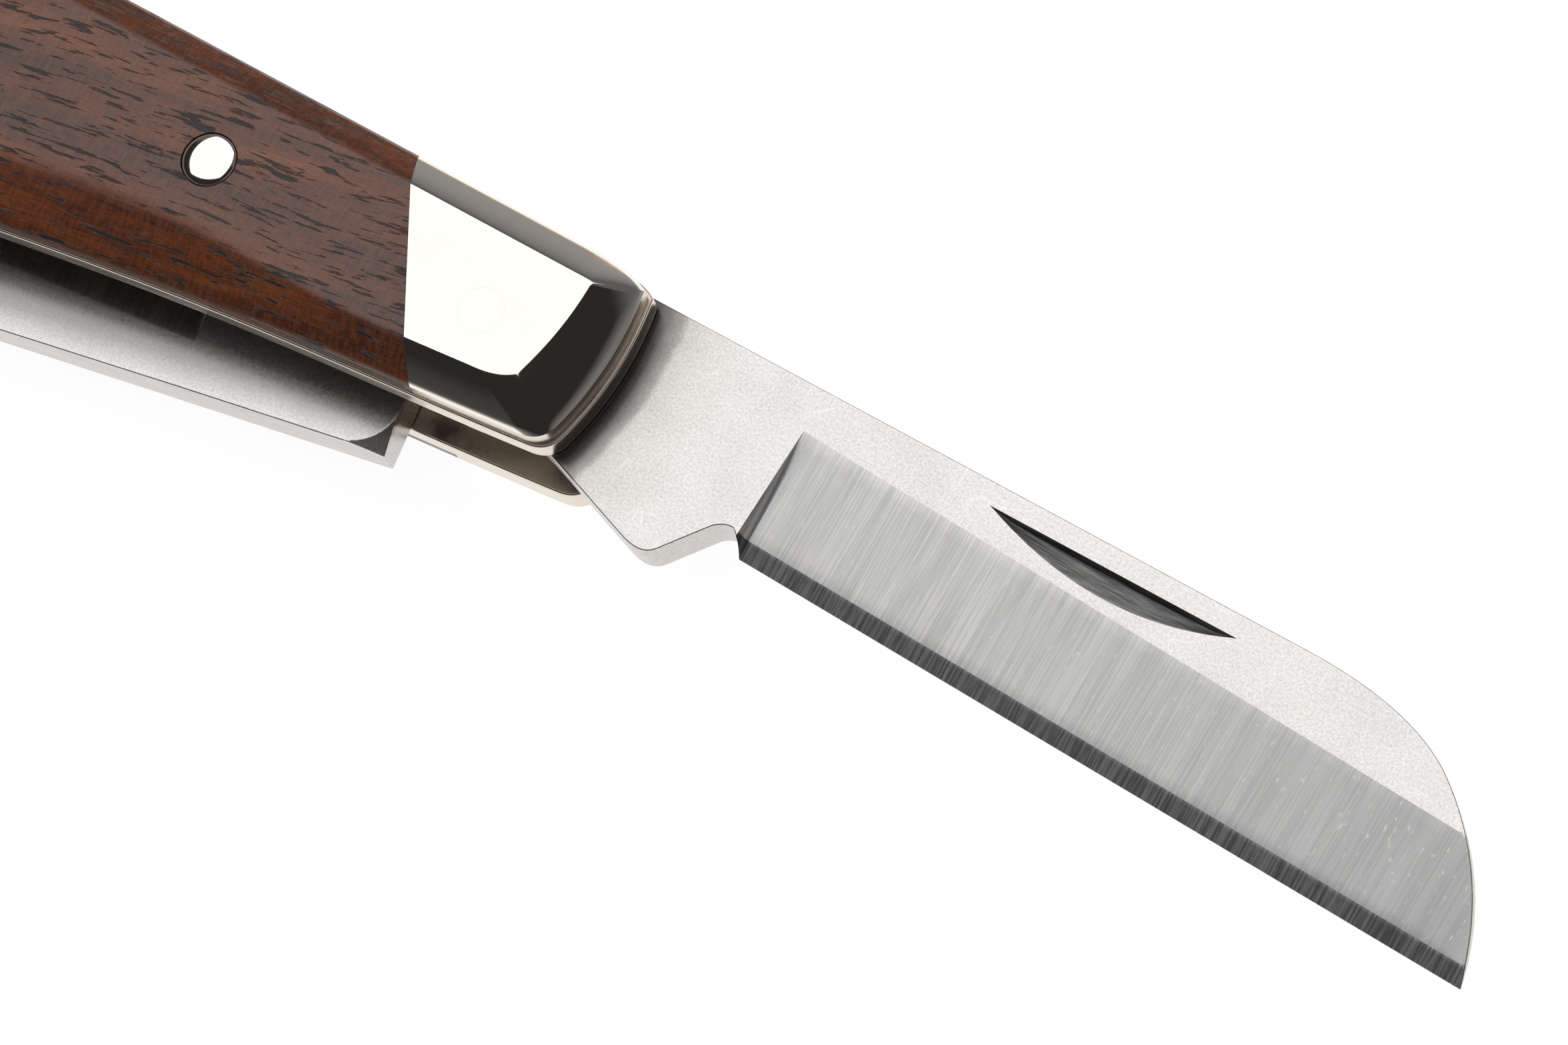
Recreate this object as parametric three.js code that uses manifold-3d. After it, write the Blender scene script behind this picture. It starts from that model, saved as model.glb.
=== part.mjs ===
// Folding pocket knife with three blades, slip joints and a bowed handle. All sizes are millimetres.
// The origin is on the front pivot's axis, on the face that the closed handle lies on.
// +X runs along the open front blades, +Y towards the back of the handle, where the springs are,
// and +Z from the pile side, which is down, to the mark side, which is up.
import * as THREE from 'three';
import { mergeVertices } from 'three/addons/utils/BufferGeometryUtils.js';
import Module from 'manifold-3d';

const wasm = await Module();
wasm.setup();

// Handle outline. Each end droops from the chord, so the handle bows.
const pivotSpacing = 85.2;
const archAngle = THREE.MathUtils.degToRad(7);
const backHeight = 6.35;
const crestLength = 32;
const backDrop = 0.75;
const backDropLength = 4.6;
const slotDepth = 5.05;
const slotWave = 0.27;
const slotWaveLength = 51;
const endReach = 7.42;
const endCrown = 1;
const endRadius = 18.7;
const slotCorner = 1.1;

// Layers, from the pile side up.
const coverThickness = 2.6;
const linerThickness = 1.3;
const bladeThickness = 2.5;
const bladePlay = 0.08;
const centerLinerThickness = 0.58;
const seatGap = 0.02;

// Bolsters and scales.
const coverInset = 0.15;
const coverEndInset = 0.26;
const rimHeight = 1.15;
const sideBevel = 2;
const endBevel = 2.9;
const bevelRoundness = 1.6;
const scaleStepDown = 0.2;
const jointX = -4.9;
const jointLean = 0.62;
const jointGap = 0.03;

// Pins.
const pivotRadius = 1.3;
const springPinRadius = 1;
const scalePinShank = 0.8;
const scalePinHead = 1.5;
const scalePinRim = 0.25;
const scalePinSink = 0.35;
const scalePinRing = 0.15;
const scalePinX = -18.43;
const scalePinY = 0.16;
const pinFit = 0.04;
const bladeBoreFit = 0.06;

// Springs and centre liner.
const tangHeight = 2.85;
const springRecess = 0.1;
const springArmFace = 3.95;
const springPadLength = 3.6;
const springRelief = 8.5;
const springPinBelowBack = 3.9;
const springPinWall = 1.1;
const springBossLength = 9;
const tangGap = 0.05;
const springEndGap = 0.06;
const heelReach = 7;
const heelInset = 0.4;
const springEndRound = 0.12;
const centerRecess = 0.2;
const centerLobeLap = 0.25;

// Blades. x runs from the pivot to the tip of an open blade, y from edge to spine.
const shoulderX = 4.86;
const tangFlat = 6;
const kickX = 13.7;
const kickRound = 1;
const kickFlat = 1.6;
const notchX = 17.2;
const notchTop = 2.95;
const notchRound = 0.45;
const plungeX = 17.65;
const heelX = 18.07;
const heelY = -4.01;
const edgeFlat = 0.04;
const microBevel = 1.05;
const microSpread = 0.3;
const nickDepth = 0.45;

const sheepsfoot = {
  closed: THREE.MathUtils.degToRad(168.7),
  spine: 6,
  tip: 63.4,
  tipThickness: 1.6,
  bevelTop: 3.48,
  bevelFall: 0.05,
  edgeFall: 0.0337,
  bellyStart: 70,
  bellyRise: 0,
  bellyPower: 2,
  nick: { from: 28.7, to: 43.9, top: 4.75, drop: 1.55 },
  nose: { noseBack: 1.5, noseDrop: 6.4, browBack: 6, browDrop: 2.4, bendBack: 9.4, spineBack: 16 },
};
const clip = {
  closed: THREE.MathUtils.degToRad(169.4),
  spine: 7.23,
  tip: 72,
  tipThickness: 1.4,
  bevelTop: 4.35,
  bevelFall: 0.072,
  edgeFall: 0.012,
  bellyStart: 42,
  bellyRise: 4.1,
  bellyPower: 2.2,
  nick: { from: 20.5, to: 33.5, top: 6.2, drop: 1.5 },
  nose: { clipStart: 36, clipSag: 0.35, pointRise: 0.25 },
};
const spey = {
  closed: THREE.MathUtils.degToRad(170),
  spine: 5.4,
  tip: 54.5,
  tipThickness: 0.85,
  bevelTop: 3.1,
  bevelFall: 0.03,
  edgeFall: 0.008,
  bellyStart: 40.5,
  bellyRise: 5.6,
  bellyPower: 2.4,
  nick: { from: 27, to: 39, top: 4.4, drop: 1.4 },
  bodyThickness: 1.5,
  crinkFrom: 12,
  crinkTo: 20,
  nose: { spineBack: 12, bendBack: 7, bendDrop: 0.4, pointRise: 0.3 },
};

// Heights of the layers' faces.
const slotWidth = bladeThickness + 2 * bladePlay;
const pileLinerLow = coverThickness + seatGap;
const pileSlotLow = pileLinerLow + linerThickness + seatGap;
const centerLow = pileSlotLow + slotWidth + seatGap;
const markSlotLow = centerLow + centerLinerThickness + seatGap;
const markLinerLow = markSlotLow + slotWidth + seatGap;
const markCoverLow = markLinerLow + linerThickness + seatGap;
const totalThickness = markCoverLow + coverThickness;

// The handle's own frame has u along the chord from its middle and v square to it, towards the back.
const halfSpacing = pivotSpacing / 2;
const archCos = Math.cos(archAngle);
const archSin = Math.sin(archAngle);
const archTan = Math.tan(archAngle);

function fromHandle(u, v) {
  const along = u - halfSpacing;
  return new THREE.Vector2(along * archCos - v * archSin, along * archSin + v * archCos);
}

function toHandle(x, y) {
  return new THREE.Vector2(halfSpacing + x * archCos + y * archSin, -x * archSin + y * archCos);
}

function mirrorPoint(point) {
  const place = toHandle(point.x, point.y);
  return fromHandle(-place.x, place.y);
}

// Straight flanks meet a parabolic crest at the middle of the back.
function backV(u) {
  const halfCrest = crestLength / 2;
  const away = Math.abs(u);
  const flank = backHeight / archCos + (halfSpacing - Math.max(away, halfCrest)) * archTan;
  const crest = away < halfCrest ? archTan * (halfCrest ** 2 - away ** 2) / crestLength : 0;
  return flank + crest;
}

function slotV(u) {
  return -slotDepth - slotWave * Math.cos(2 * Math.PI * u / slotWaveLength);
}

function endX(y, inset) {
  return endReach - inset - (y - endCrown) ** 2 / (2 * endRadius);
}

function bezier(start, control, end, steps) {
  const curve = new THREE.QuadraticBezierCurve(start, control, end);
  return curve.getPoints(steps);
}

// Whole outline of the handle, drawn in by one amount at its sides and another at its ends.
function handleOutline(side, end) {
  const steps = 16;
  const half = [];
  const topY = backHeight - side;
  const topStart = toHandle(endX(topY, end) - backDropLength, topY);
  const crestSteps = 8;
  for (let i = 0; i <= crestSteps; i += 1) {
    const u = crestLength / 2 * i / crestSteps;
    half.push(fromHandle(u, backV(u) - side));
  }
  const topCorner = new THREE.Vector2(endX(topY, end) - 0.7, topY);
  const topEnd = new THREE.Vector2(endX(topY - backDrop, end), topY - backDrop);
  half.push(...bezier(fromHandle(topStart.x, backV(topStart.x) - side), topCorner, topEnd, 8));
  const roughCorner = toHandle(endX(-slotDepth, end), -slotDepth);
  const lowY = fromHandle(roughCorner.x, slotV(roughCorner.x) + side).y;
  const lowStart = new THREE.Vector2(endX(lowY + slotCorner, end), lowY + slotCorner);
  for (let i = 1; i < 8; i += 1) {
    const y = THREE.MathUtils.lerp(topEnd.y, lowStart.y, i / 8);
    half.push(new THREE.Vector2(endX(y, end), y));
  }
  const slotStart = roughCorner.x - slotCorner;
  const slotPoint = fromHandle(slotStart, slotV(slotStart) + side);
  half.push(...bezier(lowStart, new THREE.Vector2(endX(lowY, end), lowY), slotPoint, 6));
  for (let i = 1; i <= steps; i += 1) {
    const u = slotStart * (1 - i / steps);
    half.push(fromHandle(u, slotV(u) + side));
  }
  const rear = half.slice(1, -1).map(mirrorPoint).reverse();
  return [...half, ...rear].reverse();
}

// Turns a geometry into a solid for joining and cutting, and back.
function solid(geometry) {
  const bare = geometry.clone();
  bare.deleteAttribute('normal');
  bare.deleteAttribute('uv');
  const merged = mergeVertices(bare, 1e-5);
  return new wasm.Manifold(new wasm.Mesh({
    numProp: 3,
    vertProperties: new Float32Array(merged.attributes.position.array),
    triVerts: new Uint32Array(merged.index.array),
  }));
}

function surface(manifold) {
  const mesh = manifold.getMesh();
  const geometry = new THREE.BufferGeometry();
  geometry.setAttribute('position', new THREE.BufferAttribute(new Float32Array(mesh.vertProperties), 3));
  geometry.setIndex(new THREE.BufferAttribute(new Uint32Array(mesh.triVerts), 1));
  geometry.computeVertexNormals();
  return geometry;
}

function cut(geometry, ...cutters) {
  return surface(cutters.reduce((body, cutter) => body.subtract(solid(cutter)), solid(geometry)));
}

function common(first, second) {
  return surface(solid(first).intersect(solid(second)));
}

function joined(first, ...others) {
  return surface(others.reduce((body, other) => body.add(solid(other)), solid(first)));
}

// Moves a geometry by a matrix and turns its triangles over if the matrix mirrors it.
function moved(geometry, matrix) {
  const copy = geometry.index ? geometry.clone() : mergeVertices(geometry.clone());
  copy.applyMatrix4(matrix);
  if (matrix.determinant() < 0) {
    const index = copy.index.array;
    for (let i = 0; i < index.length; i += 3) {
      [index[i], index[i + 1]] = [index[i + 1], index[i]];
    }
  }
  return copy;
}

// Joins rings of equal point counts into a closed body. The first and last rings are capped.
function loft(sections, flatten) {
  const reversed = THREE.ShapeUtils.isClockWise(sections[0].map(flatten));
  const rings = reversed ? sections.map((ring) => [...ring].reverse()) : sections;
  const count = rings[0].length;
  const positions = rings.flat().flatMap((point) => [point.x, point.y, point.z]);
  const triangles = [];
  for (let ring = 0; ring < rings.length - 1; ring += 1) {
    for (let i = 0; i < count; i += 1) {
      const next = (i + 1) % count;
      const a = ring * count + i;
      const b = ring * count + next;
      triangles.push(a, b, b + count, a, b + count, a + count);
    }
  }
  const last = (rings.length - 1) * count;
  THREE.ShapeUtils.triangulateShape(rings[0].map(flatten), []).forEach(([a, b, c]) => {
    triangles.push(c, b, a);
  });
  THREE.ShapeUtils.triangulateShape(rings.at(-1).map(flatten), []).forEach(([a, b, c]) => {
    triangles.push(last + a, last + b, last + c);
  });
  const geometry = new THREE.BufferGeometry();
  geometry.setAttribute('position', new THREE.BufferAttribute(new Float32Array(positions), 3));
  geometry.setIndex(triangles);
  geometry.computeVertexNormals();
  return geometry;
}

function slab(shape, low, high, curveSegments = 12) {
  const options = { depth: high - low, bevelEnabled: false, curveSegments };
  const geometry = new THREE.ExtrudeGeometry(shape, options);
  geometry.translate(0, 0, low);
  return geometry;
}

function rod(radius, low, high, x = 0, y = 0) {
  const geometry = new THREE.CylinderGeometry(radius, radius, high - low, 32);
  geometry.rotateX(Math.PI / 2);
  geometry.translate(x, y, (low + high) / 2);
  return geometry;
}

function hole(x, y, radius) {
  const path = new THREE.Path();
  path.absarc(x, y, radius, 0, 2 * Math.PI, true);
  return path;
}

const frontPivot = new THREE.Vector2(0, 0);
const rearPivot = mirrorPoint(frontPivot);
const springPin = fromHandle(0, backV(0) - springPinBelowBack);
const scalePins = {
  front: new THREE.Vector2(scalePinX, scalePinY),
  rear: mirrorPoint(new THREE.Vector2(scalePinX, scalePinY)),
};

// Liners: plates with the full outline of the handle.
function liner(low) {
  const shape = new THREE.Shape(handleOutline(0, 0));
  shape.holes.push(hole(frontPivot.x, frontPivot.y, pivotRadius + pinFit));
  shape.holes.push(hole(rearPivot.x, rearPivot.y, pivotRadius + pinFit));
  shape.holes.push(hole(springPin.x, springPin.y, springPinRadius + pinFit));
  shape.holes.push(hole(scalePins.front.x, scalePins.front.y, scalePinShank + pinFit));
  shape.holes.push(hole(scalePins.rear.x, scalePins.rear.y, scalePinShank + pinFit));
  return slab(shape, low, low + linerThickness);
}

// One side's cover, whole: an upright rim and then a rounded bevel up to the flat face.
function coverBody(height) {
  const bevelSteps = 4;
  const rings = [];
  const ringAt = (side, end, z) => handleOutline(side, end).map((p) => new THREE.Vector3(p.x, p.y, z));
  rings.push(ringAt(coverInset, coverEndInset, 0));
  for (let i = 0; i <= bevelSteps; i += 1) {
    const t = i / bevelSteps;
    const rise = 1 - (1 - t) ** bevelRoundness;
    const z = rimHeight + (height - rimHeight) * rise;
    rings.push(ringAt(coverInset + sideBevel * t, coverEndInset + endBevel * t, z));
  }
  return loft(rings, (p) => new THREE.Vector2(p.x, p.y));
}

// The slanted joint line between bolster and scale, moved along X by a gap.
function jointPoint(y, shift) {
  return new THREE.Vector2(jointX - jointLean * y + shift, y);
}

const beyond = 20;
const frontBlock = [
  jointPoint(-beyond, 0),
  new THREE.Vector2(beyond * 2, -beyond),
  new THREE.Vector2(beyond * 2, beyond),
  jointPoint(beyond, 0),
];
const middleBlock = [jointPoint(-beyond, -jointGap), jointPoint(beyond, -jointGap)];

function bolster(place) {
  const corners = place === 'front' ? frontBlock : frontBlock.map(mirrorPoint);
  const block = slab(new THREE.Shape(corners), -1, coverThickness + 1);
  const pivot = place === 'front' ? frontPivot : rearPivot;
  const bore = rod(pivotRadius + pinFit, -1, coverThickness + 1, pivot.x, pivot.y);
  return cut(common(coverBody(coverThickness), block), bore);
}

// Stepped hole for a scale pin: its shank, and a ring-shaped seat round its head.
function pinSeat(pin, seatHeight) {
  const shank = scalePinShank + pinFit;
  const head = scalePinHead + scalePinRing;
  const high = coverThickness + 1;
  const corners = [[0, -1], [shank, -1], [shank, seatHeight], [head, seatHeight], [head, high], [0, high]];
  const geometry = new THREE.LatheGeometry(corners.map(([x, y]) => new THREE.Vector2(x, y)), 30);
  geometry.rotateX(Math.PI / 2);
  geometry.translate(pin.x, pin.y, 0);
  return geometry;
}

function scale() {
  const height = coverThickness - scaleStepDown;
  const corners = [...middleBlock, ...middleBlock.map(mirrorPoint).reverse()];
  const block = slab(new THREE.Shape(corners), -1, coverThickness + 1);
  const cutters = [rod(springPinRadius + pinFit, -1, coverThickness + 1, springPin.x, springPin.y)];
  Object.values(scalePins).forEach((pin) => cutters.push(pinSeat(pin, height - scalePinSink)));
  return cut(common(coverBody(height), block), ...cutters);
}

// A scale pin, from the liner's inner face up to the crown of its domed head.
function scalePinBody(pin) {
  const headLow = coverThickness - scaleStepDown - scalePinSink + seatGap;
  const crown = coverThickness;
  const profile = [
    new THREE.Vector2(0, -linerThickness - seatGap),
    new THREE.Vector2(scalePinShank, -linerThickness - seatGap),
    new THREE.Vector2(scalePinShank, headLow),
    new THREE.Vector2(scalePinHead, headLow),
  ];
  const steps = 6;
  for (let i = 0; i <= steps; i += 1) {
    const turn = i / steps * Math.PI / 2;
    const z = headLow + scalePinRim + (crown - headLow - scalePinRim) * Math.sin(turn);
    profile.push(new THREE.Vector2(i === steps ? 0 : scalePinHead * Math.cos(turn), z));
  }
  const geometry = new THREE.LatheGeometry(profile, 32);
  geometry.rotateX(Math.PI / 2);
  geometry.translate(pin.x, pin.y, 0);
  return geometry;
}

// Springs fill the back of the handle. Their thickness follows the distance from each pivot.
function smooth(x) {
  const t = THREE.MathUtils.clamp(x, 0, 1);
  return t * t * (3 - 2 * t);
}

const springArm = backHeight - springRecess - springArmFace;

// Extra depth that carries the middle pin.
function bossDepth(u) {
  const boss = springPinBelowBack - springRecess + springPinRadius + springPinWall;
  return (boss - springArm) * (1 - smooth((Math.abs(u) - springPinRadius) / springBossLength));
}

function springDepth(u) {
  const fromPivot = halfSpacing - Math.abs(u);
  const pad = backHeight - springRecess - tangHeight;
  const relieved = smooth((fromPivot - springPadLength) / springRelief);
  return pad + (springArm - pad) * relieved + bossDepth(u);
}

// The spring's end is square to its pad, beside the shoulder of the open blade.
function springEndCorners(lowY) {
  const x = shoulderX - springEndGap;
  const high = backHeight - springRecess - springEndRound;
  return [new THREE.Vector2(x, high), new THREE.Vector2(x, lowY)];
}

function backStrip(depthAt, ends) {
  const steps = 40;
  const reach = halfSpacing + 1;
  const outer = [];
  const inner = [];
  for (let i = 0; i <= steps; i += 1) {
    const u = reach * (1 - 2 * i / steps);
    outer.push(fromHandle(u, backV(u) - springRecess));
    inner.push(fromHandle(u, backV(u) - springRecess - depthAt(u) / archCos));
  }
  const [frontHigh, frontLow] = ends.front;
  const [rearHigh, rearLow] = ends.rear;
  return [frontHigh, ...outer, rearHigh, rearLow, ...inner.reverse(), frontLow];
}

function markSpring() {
  const corners = springEndCorners(tangHeight);
  const ends = { front: corners, rear: corners.map(mirrorPoint) };
  const shape = new THREE.Shape(backStrip(springDepth, ends));
  shape.holes.push(hole(springPin.x, springPin.y, springPinRadius + pinFit));
  return slab(shape, markSlotLow, markSlotLow + slotWidth);
}

// The pile spring serves only the front blade. Its rear end is a heel held by the rear pin.
function pileSpring() {
  const corners = springEndCorners(tangHeight);
  const ends = { front: corners, rear: corners.map(mirrorPoint) };
  const high = pileSlotLow + slotWidth;
  const strip = slab(new THREE.Shape(backStrip(springDepth, ends)), pileSlotLow, high);
  const inside = slab(new THREE.Shape(handleOutline(heelInset, heelInset)), pileSlotLow, high);
  const heel = common(inside, rod(heelReach, pileSlotLow - 1, high + 1, rearPivot.x, rearPivot.y));
  const pinBore = rod(pivotRadius + pinFit, pileSlotLow - 1, centerLow + 1, rearPivot.x, rearPivot.y);
  const middleBore = rod(springPinRadius + pinFit, pileSlotLow - 1, centerLow + 1, springPin.x, springPin.y);
  return cut(joined(strip, heel), pinBore, middleBore);
}

// The centre liner keeps the two layers of blades apart at the springs and round both pivots.
function centerLiner() {
  const high = centerLow + centerLinerThickness;
  const lowY = springArmFace + centerRecess;
  const corners = springEndCorners(lowY);
  const ends = { front: corners, rear: corners.map(mirrorPoint) };
  const depthAt = (u) => springArm - centerRecess + bossDepth(u);
  const strip = slab(new THREE.Shape(backStrip(depthAt, ends)), centerLow, high);
  const bores = [
    rod(pivotRadius + pinFit, centerLow - 1, high + 1),
    rod(pivotRadius + pinFit, centerLow - 1, high + 1, rearPivot.x, rearPivot.y),
    rod(springPinRadius + pinFit, centerLow - 1, high + 1, springPin.x, springPin.y),
  ];
  const frontLobe = rod(lowY + centerLobeLap, centerLow, high);
  const rearLobe = rod(lowY + centerLobeLap, centerLow, high, rearPivot.x, rearPivot.y);
  return cut(joined(strip, frontLobe, rearLobe), ...bores);
}

// Blade curves, as heights over x.
function edgeY(blade, x) {
  const past = Math.max(0, x - blade.bellyStart) / Math.max(1, blade.tip - blade.bellyStart);
  return heelY - blade.edgeFall * (x - heelX) + blade.bellyRise * past ** blade.bellyPower;
}

function bevelY(blade, x) {
  return blade.bevelTop - blade.bevelFall * (x - plungeX);
}

function thicknessAt(blade, x) {
  const body = blade.bodyThickness ?? bladeThickness;
  const start = blade.crinkTo ?? plungeX;
  const along = THREE.MathUtils.clamp((x - start) / (blade.tip - start), 0, 1);
  return body + (blade.tipThickness - body) * along;
}

// Depth of the blade's outer face below the liner, for a blade that bends to the middle of the knife.
function crinkDepth(blade, x) {
  if (!blade.crinkTo) return 0;
  const middle = markSlotLow + slotWidth - bladePlay - totalThickness / 2;
  const bent = middle - thicknessAt(blade, x) / 2;
  const along = THREE.MathUtils.clamp((x - blade.crinkFrom) / (blade.crinkTo - blade.crinkFrom), 0, 1);
  return bent * along;
}

// Tang: square notch at the spring's end, a round end, the closed flat and the kick.
function tangOutline(blade) {
  const radius = tangHeight - tangGap;
  const start = Math.PI / 2;
  const sweep = blade.closed;
  const points = [new THREE.Vector2(shoulderX, blade.spine), new THREE.Vector2(shoulderX, radius)];
  const arcSteps = 18;
  for (let i = 0; i <= arcSteps; i += 1) {
    const angle = start + sweep * i / arcSteps;
    points.push(new THREE.Vector2(radius * Math.cos(angle), radius * Math.sin(angle)));
  }
  const closedSin = Math.sin(sweep);
  const closedCos = Math.cos(sweep);
  const kickFace = springArmFace - tangGap;
  const kick = new THREE.Vector2(kickX, (kickFace + kickX * closedSin) / closedCos);
  const flatWay = new THREE.Vector2(-closedCos, -closedSin);
  const flatEnd = points.at(-1).clone().addScaledVector(flatWay, tangFlat);
  const slope = new THREE.Vector2().subVectors(kick, flatEnd).normalize();
  const kickIn = kick.clone().addScaledVector(slope, -kickFlat);
  const notchFoot = new THREE.Vector2(notchX - notchRound * 2.2, -notchTop - notchRound);
  const rise = new THREE.Vector2().subVectors(notchFoot, kick).normalize();
  const kickOut = kick.clone().addScaledVector(rise, kickRound);
  points.push(flatEnd);
  points.push(...bezier(kickIn, kick, kickOut, 6));
  const notchPeak = new THREE.Vector2(notchX - notchRound, -notchTop + notchRound * 0.1);
  points.push(...bezier(notchFoot, notchPeak, new THREE.Vector2(notchX + 0.1, -notchTop), 5));
  points.push(new THREE.Vector2(plungeX, -notchTop - 0.3));
  points.push(new THREE.Vector2(heelX, edgeY(blade, heelX)));
  return points;
}

function edgePoints(blade, last) {
  const steps = blade.bellyRise > 0 ? 20 : 4;
  const points = [];
  for (let i = 1; i <= steps; i += 1) {
    const x = THREE.MathUtils.lerp(heelX, last, i / steps);
    points.push(new THREE.Vector2(x, edgeY(blade, x)));
  }
  return points;
}

// Noses, from the edge's end up to the spine. Their sizes run back from the tip and down from the spine.
function fromTip(blade, back, drop) {
  return new THREE.Vector2(blade.tip - back, blade.spine - drop);
}

function sheepsfootNose(blade) {
  const { noseBack, noseDrop, browBack, browDrop, bendBack, spineBack } = blade.nose;
  const point = new THREE.Vector2(blade.tip, edgeY(blade, blade.tip));
  const brow = fromTip(blade, browBack, browDrop);
  const front = bezier(point, fromTip(blade, noseBack, noseDrop), brow, 6);
  const top = bezier(brow, fromTip(blade, bendBack, 0), fromTip(blade, spineBack, 0), 8);
  return [...front.slice(1), ...top.slice(1)];
}

// The clip falls along a shallow hollow curve.
function clipNose(blade) {
  const { clipStart, clipSag, pointRise } = blade.nose;
  const points = [];
  const steps = 12;
  const fall = blade.spine - edgeY(blade, blade.tip) - pointRise;
  for (let i = 0; i <= steps; i += 1) {
    const s = 1 - i / steps;
    const x = THREE.MathUtils.lerp(clipStart, blade.tip, s);
    points.push(new THREE.Vector2(x, blade.spine - fall * ((1 + clipSag) * s - clipSag * s * s)));
  }
  return points;
}

function speyNose(blade) {
  const { spineBack, bendBack, bendDrop, pointRise } = blade.nose;
  const point = new THREE.Vector2(blade.tip, edgeY(blade, blade.tip) + pointRise);
  return bezier(point, fromTip(blade, bendBack, bendDrop), fromTip(blade, spineBack, 0), 8);
}

// Side view of a blade in x and depth: taper towards the tip, and the bend of a crinked blade.
function sideProfile(blade) {
  const stations = [-beyond, blade.crinkFrom ?? plungeX, blade.crinkTo ?? plungeX + 1, blade.tip + 1];
  const faceAt = (x) => new THREE.Vector2(x, crinkDepth(blade, x));
  const thick = (x) => (x <= stations[1] ? bladeThickness : thicknessAt(blade, x));
  const backAt = (x) => new THREE.Vector2(x, crinkDepth(blade, x) + thick(x));
  const shape = new THREE.Shape([...stations.map(faceAt), ...stations.map(backAt).reverse()]);
  const geometry = slab(shape, -beyond, beyond);
  geometry.rotateX(Math.PI / 2);
  return geometry;
}

// Cutter for one side's bevels: the main bevel down from its line, then the narrow one at the edge.
function bevelCutter(blade, sign) {
  const stations = 14;
  const rings = [];
  for (let i = 0; i <= stations; i += 1) {
    const x = THREE.MathUtils.lerp(plungeX, blade.tip + 1, i / stations);
    const half = thicknessAt(blade, x) / 2;
    const middle = crinkDepth(blade, x) + half;
    const edge = edgeY(blade, Math.min(x, blade.tip));
    const top = Math.max(bevelY(blade, x), edge + microBevel * 2);
    const section = [
      [top, half],
      [edge + microBevel, microSpread],
      [edge, edgeFlat],
      [edge - 1, edgeFlat],
      [edge - 1, half + 2],
      [top + 0.01, half + 2],
    ];
    rings.push(section.map(([y, out]) => new THREE.Vector3(x, y, middle + sign * out)));
  }
  return loft(rings, (p) => new THREE.Vector2(p.y, p.z));
}

// Nail nick: a crescent, deepest along its straight upper edge.
function nickCutter(blade) {
  const { from, to, top, drop } = blade.nick;
  const depth = crinkDepth(blade, (from + to) / 2);
  const ringAt = (bulge, z) => {
    const control = new THREE.Vector2((from + to * 1.2) / 2.2, top - bulge * 2);
    const arc = bezier(new THREE.Vector2(from, top), control, new THREE.Vector2(to, top), 12);
    return arc.map((p) => new THREE.Vector3(p.x, p.y, z));
  };
  const shallow = 0.15;
  const rings = [ringAt(drop * 2 - shallow, depth - nickDepth), ringAt(shallow, depth + nickDepth)];
  return loft(rings, (p) => new THREE.Vector2(p.x, p.y));
}

// A blade in its own frame, open, with its outer face at z = 0 and the thickness towards +Z.
function bladeBody(blade, nose, edgeEnd) {
  const outline = [...tangOutline(blade), ...edgePoints(blade, edgeEnd), ...nose(blade)];
  const plate = slab(new THREE.Shape(outline), -1, beyond / 2);
  const bore = rod(pivotRadius + bladeBoreFit, -2, beyond);
  const bevels = [bevelCutter(blade, 1), bevelCutter(blade, -1)];
  return cut(common(plate, sideProfile(blade)), ...bevels, nickCutter(blade), bore);
}

// Places a blade in a slot, turned about its pivot, and for the rear end mirrored along the handle.
function inMarkSlot() {
  return new THREE.Matrix4().makeScale(1, 1, -1).setPosition(0, 0, markSlotLow + slotWidth - bladePlay);
}

function inPileSlot() {
  return new THREE.Matrix4().makeTranslation(0, 0, pileSlotLow + bladePlay);
}

function toRearEnd() {
  const along = rearPivot.clone().normalize();
  const mirror = new THREE.Matrix4().set(
    1 - 2 * along.x * along.x, -2 * along.x * along.y, 0, rearPivot.x,
    -2 * along.x * along.y, 1 - 2 * along.y * along.y, 0, rearPivot.y,
    0, 0, 1, 0,
    0, 0, 0, 1,
  );
  return mirror;
}

function turned(angle) {
  return new THREE.Matrix4().makeRotationZ(angle);
}

// Materials, one for each kind of surface.
const nickelSilver = new THREE.MeshStandardMaterial({ color: 0xb9b2a2, roughness: 0.18, metalness: 1 });
const satinSteel = new THREE.MeshStandardMaterial({ color: 0xb4b2ae, roughness: 0.45, metalness: 1 });
const springSteel = new THREE.MeshStandardMaterial({ color: 0x9a9894, roughness: 0.35, metalness: 1 });
const rosewood = new THREE.MeshStandardMaterial({ color: 0x4a2a20, roughness: 0.45, metalness: 0 });

const knife = new THREE.Group();

function add(name, geometry, material) {
  const mesh = new THREE.Mesh(geometry, material);
  mesh.name = name;
  knife.add(mesh);
}

// Each cover is built lying on its liner and then moved to its side of the knife.
const sides = {
  mark: new THREE.Matrix4().makeTranslation(0, 0, markCoverLow),
  pile: new THREE.Matrix4().makeScale(1, 1, -1).setPosition(0, 0, coverThickness),
};

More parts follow.
